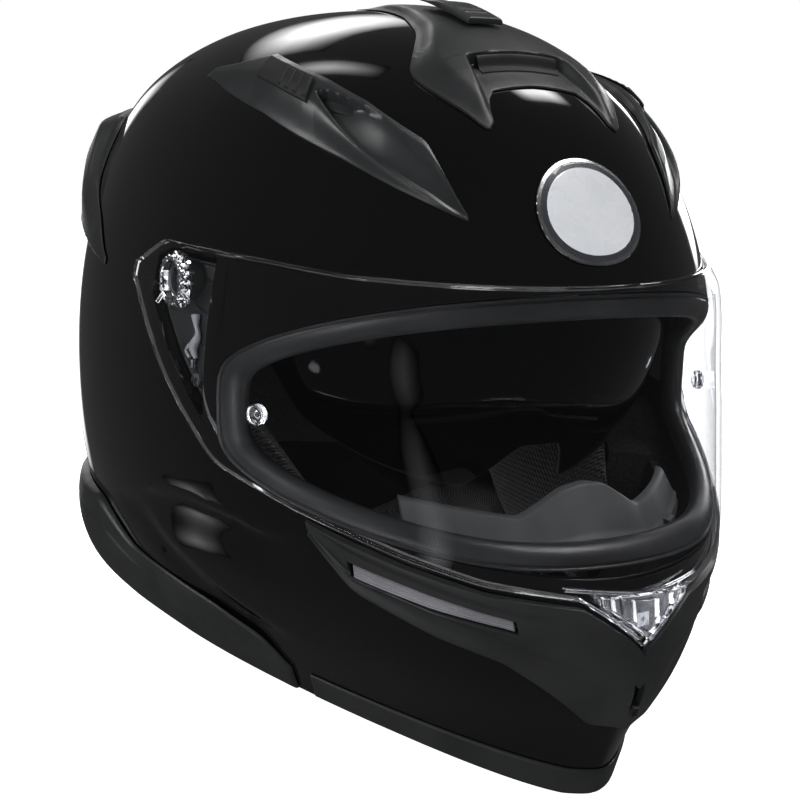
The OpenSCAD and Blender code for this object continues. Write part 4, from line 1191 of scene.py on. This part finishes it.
def make_pins():
    parts = []
    for side in (LEFT, RIGHT):
        place, across, up, out = on_shell(side * PIN_ANGLE, PIN_HEIGHT, 0)
        base = float(visor_lift(np.float64(PIN_ANGLE), 0.5)) - 3.5
        profile = [(r, base + h) for r, h in PIN_PROFILE]
        parts.append(lathe(profile, place, across, up, out, 40))
    piece = mesh_piece("insert_pins", join_parts(parts), CLEAR_PART, body="visor",
                       slot="clear_detail")
    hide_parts("pinlock_pins")


make_visor()
make_latch_tab()
make_pins()

# ------------------------------------------------------------------ visor hinge
pivot = joint_place("visor_hinge")
HUB_RADIUS, BORE = 7.5, 7.65
HUB_PROFILE = [(0.01, -5.9), (HUB_RADIUS, -5.9), (HUB_RADIUS, 2.0), (7.0, 2.5), (5.4, 2.5),
               (5.1, 2.0), (5.1, 0.6), (1.9, 0.6), (1.9, 1.6), (0.01, 1.6)]


def pivot_frame(side):
    """(place, across, up, out, depth) of the visor's ring on one side."""
    low, high = box_of("visor_ring_" + ("left" if side > 0 else "right"))
    place = np.array([low[0] if side > 0 else high[0], pivot[1], pivot[2]])
    return (place, np.array([0.0, 1, 0]), np.array([0.0, 0, 1]), np.array([float(side), 0, 0]),
            high[0] - low[0])


def gear(teeth, root, tip, low, high, bore, frame_at):
    """A toothed ring with a bore."""
    place, across, up, out = frame_at
    count = teeth * 8
    q = np.linspace(0, 2 * np.pi, count, endpoint=False)
    wave = np.clip(1.6 * np.cos(q * teeth), -1, 1) * 0.5 + 0.5
    outer = root + (tip - root) * wave
    loops = [(np.full(count, bore), low), (outer * 0.97, low), (outer, low + 0.4),
             (outer, high - 0.4), (outer * 0.96, high), (np.full(count, bore + 0.4), high),
             (np.full(count, bore), high - 0.4)]
    spokes = np.cos(q)[:, None] * across + np.sin(q)[:, None] * up
    points = np.concatenate([place + r[:, None] * spokes + h * out for r, h in loops])
    return points, ring_faces(len(loops), count, True)


def make_hinges():
    for side, word in SIDES:
        place, across, up, out, deep = pivot_frame(side)
        parts = [gear(16, 8.9, 11.4, 0.2, 2.4, BORE, (place, across, up, out)),
                 gear(24, 9.3, 9.9, 2.2, deep - 0.2, BORE, (place, across, up, out))]
        centre = place + deep * 0.8 * out
        for angle in (200, 320):
            q = math.radians(angle)
            arm = math.cos(q) * across + math.sin(q) * up
            line = [centre + r * arm for r in np.linspace(10, 16, 8)]
            parts.append(tube(line, 0.8, 8))
        piece = mesh_piece("ratchet_" + word, join_parts(parts), CLEAR_PART, body="visor",
                           slot="clear_detail", sharp=35)
        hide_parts("visor_ring_" + word)


def pocket_path(points, side, depth, count=60):
    """A smooth path in the hinge pocket through (angle, height) points."""
    points = np.array(points, float)
    t = np.linspace(0, len(points) - 1, count)
    k = np.clip(np.floor(t).astype(int), 0, len(points) - 2)
    f = (t - k)[:, None]
    before, after = points[np.maximum(k - 1, 0)], points[np.minimum(k + 2, len(points) - 1)]
    line = spline(before, points[k], points[k + 1], after, f)
    return layer(side * line[:, 0], at_height(line[:, 1]), np.full(count, -float(depth)))


def make_hinge_plates():
    def out(a, t):
        rim = ease(np.abs(np.abs(a) - 76.5), 4.6, 5.0) + ease(np.abs(t - 0.5), 0.455, 0.47)
        grooves = (np.abs(np.sin(t * 26)) < 0.12) * (np.abs(a) < 75)
        return -5.75 + 0.8 * rim.clip(0, 1) - 0.5 * grooves

    half = fringe(POCKET_FROM + 0.7, POCKET_TO - 0.7, 40, 0.3)
    for side, word in SIDES:
        cover = plate("hinge_plate_" + word, mirrored(half, side), fringe(0, 1, 60, 0.02),
                      lambda a: row_b(a) + 1.0, lambda a: row_c(a) - 1.0, out,
                      constant(-8.0), MATT, edge=0.5, slot="trim_matte", sharp=30)
        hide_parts("base_plate_" + word)
        hub = lathe(HUB_PROFILE, *pivot_frame(side)[:4], 64)
        mesh_piece("hinge_hub_" + word, hub, SATIN, slot="trim_matte")


ARM_PATH = [(74.0, 172), (73.6, 168), (73.0, 164), (73.8, 159), (73.0, 155)]


def make_levers():
    """The curved release arm on each side, with its coil spring."""
    for side, word in SIDES:
        arm = pocket_path(ARM_PATH, side, 4.3)
        hook = pocket_path([(74.6, 160), (75.3, 157), (74.4, 154.6)], side, 4.2, 30)
        width = 1.35 + 0.5 * np.cos(np.linspace(0, 9, len(arm)))
        shape = join_parts([tube(arm, width, 14), tube(hook, 0.7, 10)])
        piece = mesh_piece("release_arm_" + word, shape, LEVER,
                           body="release_lever_" + word, slot="lever_grey")
        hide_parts("release_lever_" + word)
    parts = []
    for side in (LEFT, RIGHT):
        low, side_v, up, out = on_shell(side * 73.5, 150.6, -4.4)
        t = np.linspace(0, 1, 110)[:, None]
        turn = t * 2 * np.pi * 5
        coil = low + up * (0.3 + 3.4 * t) + 1.05 * (np.cos(turn) * side_v + np.sin(turn) * out)
        parts.append(tube(coil, 0.2, 7))
    piece = mesh_piece("lever_coils", join_parts(parts), STEEL, slot="steel")
    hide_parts("lever_springs")


make_hinges()
make_hinge_plates()
make_levers()

# ------------------------------------------------------------------ sun visor
lens_low, lens_high = box_of("sun_visor")
sun_pivot = joint_place("sun_visor_hinge")
LENS_RADIUS = round(sun_pivot[1] - lens_low[1], 1)
LENS_HALF = round(lens_high[0] - 1.2, 1)
LENS_ANGLE, LENS_TOP, LENS_WALL, NOSE_RISE = 46, 4, 2, 15
BOSS_PROFILE = [(2.5, 0.2), (5.6, 0.0), (6.0, 0.5), (6.0, 2.7), (5.6, 3.1), (2.9, 3.1),
                (2.5, 2.8), (2.5, 0.2)]


def lens_edge(turn):
    """Angle from the lens's top to its lower edge, with the rise over the nose."""
    b = np.abs(turn)
    return LENS_ANGLE * (1 - 0.35 * ease(b, 50, 72)) - NOSE_RISE * (1 - ease(b, 4, 15))


def lens_point(turn, fall, depth):
    q, f = np.radians(turn), np.radians(fall)
    return np.stack([sun_pivot[0] + (LENS_HALF - depth) * np.sin(q),
                     sun_pivot[1] - (LENS_RADIUS - depth) * np.cos(q) * np.cos(f),
                     sun_pivot[2] - (LENS_RADIUS - depth) * np.cos(q) * np.sin(f)], -1)


def make_sun_visor():
    q, t = np.meshgrid(fringe(-87, 87, 150, 0.5), fringe(0, 1, 40, 0.02)[::-1])
    fall = -LENS_TOP + (lens_edge(q) + LENS_TOP) * t
    middle = lens_point(q, fall, LENS_WALL / 2 * np.ones(q.shape))
    half = LENS_WALL / 2 * rounding(middle, 1.1, 0.15)
    piece = solid("smoke_lens", lens_point(q, fall, LENS_WALL / 2 - half),
                  lens_point(q, fall, LENS_WALL / 2 + half), SMOKE, body="sun_visor",
                  slot="smoke_lens", sharp=60)
    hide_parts("sun_visor")
    parts = []
    for side in (LEFT, RIGHT):
        place = np.array([side * (LENS_HALF - LENS_WALL), sun_pivot[1], sun_pivot[2]])
        points, faces = lathe(BOSS_PROFILE, place, np.array([0, 1.0, 0]), np.array([0, 0, 1.0]),
                              np.array([float(side), 0, 0]), 40)
        parts.append((points, faces[:-2]))
    mesh_piece("lens_bosses", join_parts(parts), MATT, body="sun_visor", slot="smoke_lens")


make_sun_visor()


# ------------------------------------------------------------------ lining
PAD_VOXEL, PAD_SHRINK, PAD_SWELL = 5, 1.2, 3.0
PAD_PRESSURE, CLOTH_FRAMES = 4.0, 20


def dense(node, name, material):
    """A padded copy of a CAD solid: remeshed, blown up as cloth, then smoothed."""
    mesh = frame["nodes"][node].data.copy()
    mesh.name = name
    piece = placed(name, mesh)
    remesh = piece.modifiers.new("voxels", "REMESH")
    remesh.mode = "VOXEL"
    remesh.voxel_size = PAD_VOXEL * MM
    settle(piece)
    normals = np.zeros(len(piece.data.vertices) * 3)
    piece.data.vertex_normals.foreach_get("vector", normals)
    start = points_of(piece) - PAD_SHRINK * MM * normals.reshape(-1, 3)
    put_points(piece, start)
    swell(piece)
    step = points_of(piece) - start
    length = np.maximum(np.linalg.norm(step, axis=1, keepdims=True), 1e-9)
    put_points(piece, start + step * np.minimum(1, PAD_SWELL * MM / length))
    smooth = piece.modifiers.new("smooth", "SMOOTH")
    smooth.factor = 0.5
    smooth.iterations = 3
    more = piece.modifiers.new("finer", "SUBSURF")
    more.levels = more.render_levels = 1
    settle(piece)
    piece.data.shade_smooth()
    piece.data.materials.clear()
    piece.data.materials.append(material)
    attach(piece, "helmet")
    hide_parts(node)


def settle(piece):
    """Puts a piece's modifiers into its mesh."""
    graph = bpy.context.evaluated_depsgraph_get()
    graph.update()
    result = bpy.data.meshes.new_from_object(piece.evaluated_get(graph))
    piece.modifiers.clear()
    piece.data = result


def points_of(piece):
    flat = np.zeros(len(piece.data.vertices) * 3)
    piece.data.vertices.foreach_get("co", flat)
    return flat.reshape(-1, 3)


def put_points(piece, points):
    piece.data.vertices.foreach_set("co", np.asarray(points, float).ravel())
    piece.data.update()


def swell(piece):
    """Blows a piece up as cloth, and keeps the shape it comes to."""
    cloth = piece.modifiers.new("cloth", "CLOTH")
    values = cloth.settings
    values.use_pressure = True
    values.uniform_pressure_force = PAD_PRESSURE
    values.quality = 5
    values.tension_stiffness = 25
    values.compression_stiffness = 25
    values.bending_stiffness = 4
    values.effector_weights.gravity = 0
    cloth.collision_settings.use_collision = False
    scene = bpy.context.scene
    for number in range(1, CLOTH_FRAMES + 1):
        scene.frame_set(number)
    settle(piece)
    scene.frame_set(1)


PADS = (("cheek_pad_left", "cheek_cushion_left", SIDE_MESH),
        ("cheek_pad_right", "cheek_cushion_right", SIDE_MESH),
        ("crown_pad", "crown_cushion", KNIT), ("neck_roll", "neck_cushion", KNIT))
for node, name, material in PADS:
    dense(node, name, material)


def make_curtain():
    piece = plate("chin_skirt", fringe(-46, 46, 100, 0.5), fringe(0, 1, 20, 0.06),
                  lambda a: rim_height(a) + 3, lambda a: rim_height(a) + 9,
                  lambda a, t: -4.7 - 0.25 * np.sin(a * 1.7) * (1 - t),
                  lambda a, t: -(6.8 + 26 * (1 - t)), KNIT, edge=1.0, slot="fabric_black")
    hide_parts("chin_curtain")


make_curtain()

# ------------------------------------------------------------------ straps
strap_low, strap_high = box_of("strap_short")
STITCH_FROM, STITCH_TO, STITCH_LENGTH = -18, 18, 2.4


def stitch_row(y, z, up, count=12):
    """A row of stitches across the strap, as short humps of thread."""
    start, end = np.array([STITCH_FROM, y, z], float), np.array([STITCH_TO, y, z], float)
    along, out = unit(end - start), np.array([0, 0, up], float)
    t = np.linspace(-1, 1, 6)[:, None]
    stitch = along * t * STITCH_LENGTH / 2 + out * (0.25 - 0.3 * t ** 2)
    return [tube(start + (end - start) * (k + 0.5) / count + stitch, 0.22, 6)
            for k in range(count)]


def make_stitches():
    parts = []
    floor_z = box_of("strap_long")[0][2]
    for y in (strap_low[1] + 2.2, strap_high[1] - 2.2):
        parts += stitch_row(y, floor_z + 2.05, 1)
        parts += stitch_row(y, floor_z - 0.05, -1)
    mesh_piece("strap_stitches", join_parts(parts), WEBBING, slot="webbing")


make_stitches()

CAD_LOOKS = {
    "eps_liner": FOAM, "chin_foam": FOAM, "cheek_foam_left": FOAM, "cheek_foam_right": FOAM,
    "chin_vent_filter": FOAM, "latch_striker": STEEL, "plate_screws": STEEL, "sun_pivots": STEEL,
    "sun_lever": MATT, "sun_cable": RUBBER, "strap_plates": DARK_STEEL, "strap_rivets": STEEL,
    "strap_short": WEBBING, "strap_long": WEBBING, "d_ring_inner": STEEL, "d_ring_outer": STEEL,
    "strap_end_stud": STEEL, "pad_studs": STEEL,
}
for node, material in CAD_LOOKS.items():
    mesh = frame["nodes"][node].data
    mesh.materials.clear()
    mesh.materials.append(material)

# ------------------------------------------------------------------ camera, floor and light
TARGET = Vector((0, CENTRE_Y * MM, 0.140 * KZ))
AZIMUTH, ELEVATION, ROLL = (math.radians(v) for v in (-32.5, 10.3, 2.9))
DISTANCE = 0.792
# Distances of the glowing panels and of the lights for satin pieces, and the floor's half size
PANEL_DISTANCE, SATIN_DISTANCE, FLOOR_HALF = 1.6, 1.8, 40.0
WORLD_FILL = 0.06


def direction(azimuth, elevation):
    """Unit vector from the object; azimuth 0 is the front, and it grows towards +X."""
    flat = math.cos(elevation)
    return Vector((math.sin(azimuth) * flat, -math.cos(azimuth) * flat, math.sin(elevation)))


def make_camera():
    data = bpy.data.cameras.new("camera")
    data.sensor_width = 36
    data.lens = 79.9
    data.shift_x = 0.02375
    data.shift_y = -0.05325
    data.clip_start = 0.01
    camera = placed("camera", data)
    back = direction(AZIMUTH, ELEVATION)
    camera.location = TARGET + back * DISTANCE
    aim = (-back).to_track_quat("-Z", "Y").to_matrix()
    camera.rotation_euler = (aim @ roll_matrix(ROLL)).to_euler()
    bpy.context.scene.camera = camera


def roll_matrix(angle):
    return Matrix.Rotation(angle, 3, "Z")


def lamp(name, azimuth, elevation, distance, size, power_w):
    """A soft light that gloss doesn't show, in a direction from the helmet. Degrees and metres."""
    data = bpy.data.lights.new(name, "AREA")
    data.shape = "RECTANGLE"
    data.size, data.size_y = size
    data.energy = power_w
    light = placed(name, data)
    out = direction(math.radians(azimuth), math.radians(elevation))
    light.location = TARGET + out * distance
    light.rotation_euler = out.to_track_quat("Z", "Y").to_euler()
    light.visible_camera = False
    light.visible_glossy = False
    return light


def sheet(name, w, h, material):
    """A flat rectangle of half sizes w and h."""
    mesh = bpy.data.meshes.new(name)
    mesh.from_pydata([(-w, -h, 0), (w, -h, 0), (w, h, 0), (-w, h, 0)], [], [[0, 1, 2, 3]])
    mesh.materials.append(material)
    return placed(name, mesh)


def softbox(name, azimuth, elevation, size, strength, turn=0.0, fade=0.35):
    """A glowing panel that only reflections show, brightest in the middle."""
    n = Nodes(name)
    x, y, _ = n.parts()
    glow = n.add("ShaderNodeEmission")
    edges = []
    for axis, length in ((x, size[0]), (y, size[1])):
        share = n.times(n.math("ABSOLUTE", axis), 2 / length)
        edges.append(n.span(share, 0, 1, 1.0, 1.0 - fade))
    n.link(n.times(n.times(*edges), float(strength)), glow.inputs["Strength"])
    n.link(glow.outputs[0], n.out.inputs["Surface"])
    n.tree.nodes.remove(n.bsdf)
    panel = sheet(name, size[0] / 2, size[1] / 2, n.material)
    out = direction(math.radians(azimuth), math.radians(elevation))
    panel.location = TARGET + out * PANEL_DISTANCE
    facing = out.to_track_quat("Z", "Y").to_matrix()
    panel.rotation_euler = (facing @ roll_matrix(math.radians(turn))).to_euler()
    panel.visible_camera = False
    panel.visible_diffuse = False
    panel.visible_transmission = False
    panel.visible_shadow = False


def make_floor():
    n = Nodes("floor")
    n.colour(n.ramp(n.noise(3, 2), 0.3, 0.7, [(0.93, 0.93, 0.93), (0.95, 0.95, 0.95)]))
    n.rough(n.span(n.noise(40, 3), 0.85, 0.95))
    n.set(Emission_Color=(1, 1, 1, 1), Emission_Strength=0.97)
    floor = sheet("floor", FLOOR_HALF, FLOOR_HALF, n.material)
    floor.location.z = -0.0005
    floor.visible_glossy = False


def make_world():
    """White to the camera and through clear pieces, dim to everything else."""
    world = bpy.data.worlds.new("studio")
    bpy.context.scene.world = world
    world.use_nodes = True
    tree = world.node_tree
    dim = tree.nodes["Background"]
    bright = tree.nodes.new("ShaderNodeBackground")
    for shader, strength in ((dim, WORLD_FILL), (bright, 1.0)):
        shader.inputs["Color"].default_value = (1, 1, 1, 1)
        shader.inputs["Strength"].default_value = strength
    path = tree.nodes.new("ShaderNodeLightPath")
    mix = tree.nodes.new("ShaderNodeMixShader")
    seen = tree.nodes.new("ShaderNodeMath")
    seen.operation = "MAXIMUM"
    tree.links.new(path.outputs["Is Camera Ray"], seen.inputs[0])
    tree.links.new(path.outputs["Is Transmission Ray"], seen.inputs[1])
    tree.links.new(seen.outputs[0], mix.inputs["Fac"])
    tree.links.new(dim.outputs[0], mix.inputs[1])
    tree.links.new(bright.outputs[0], mix.inputs[2])
    tree.links.new(mix.outputs[0], tree.nodes["World Output"].inputs["Surface"])


# Pieces that the satin lights leave alone
GLOSSY = ("shell", "visor_shield", "smoke_lens", "floor")


def make_lights():
    softbox("crown_box", 160, 33, (0.95, 0.5), 4, turn=34, fade=0.8)
    softbox("crown_tail", 184, 56, (0.22, 0.75), 2.5, turn=20, fade=0.9)
    softbox("rear_box", 171, -2, (0.3, 1.0), 3.5, fade=0.6)
    softbox("low_left", -130, -28, (0.5, 0.25), 0.8, fade=0.9)
    softbox("side_box", 120, 9, (0.75, 0.45), 9, fade=0.4)
    softbox("front_top_box", 112, 53, (0.35, 0.4), 6, fade=0.6)
    softbox("visor_strip", -51, -9, (0.26, 0.8), 1.5, turn=-26, fade=1.0)
    lamp("top_fill", 150, 55, 1.7, (1.0, 0.8), 16)
    lamp("left_fill", -85, 25, 2.0, (1.0, 1.0), 22)
    lamp("front_fill", -15, 25, 2.2, (0.9, 0.9), 20)
    lamp("right_fill", 75, 25, 2.2, (1.0, 1.0), 12)
    sheen = bpy.data.collections.new("satin_pieces")
    for piece in list(bpy.context.scene.objects):
        if piece.type == "MESH" and piece.name not in GLOSSY:
            sheen.objects.link(piece)
    satin = (("satin_top", 60, 62, 16), ("satin_left", -105, 35, 12), ("satin_front", -62, -4, 5))
    for name, azimuth, elevation, power_w in satin:
        light = lamp(name, azimuth, elevation, SATIN_DISTANCE, (0.7, 0.7), power_w)
        light.visible_glossy = True
        light.light_linking.receiver_collection = sheen


bpy.context.scene.view_settings.view_transform = "Standard"
make_camera()
make_floor()
make_world()
make_lights()
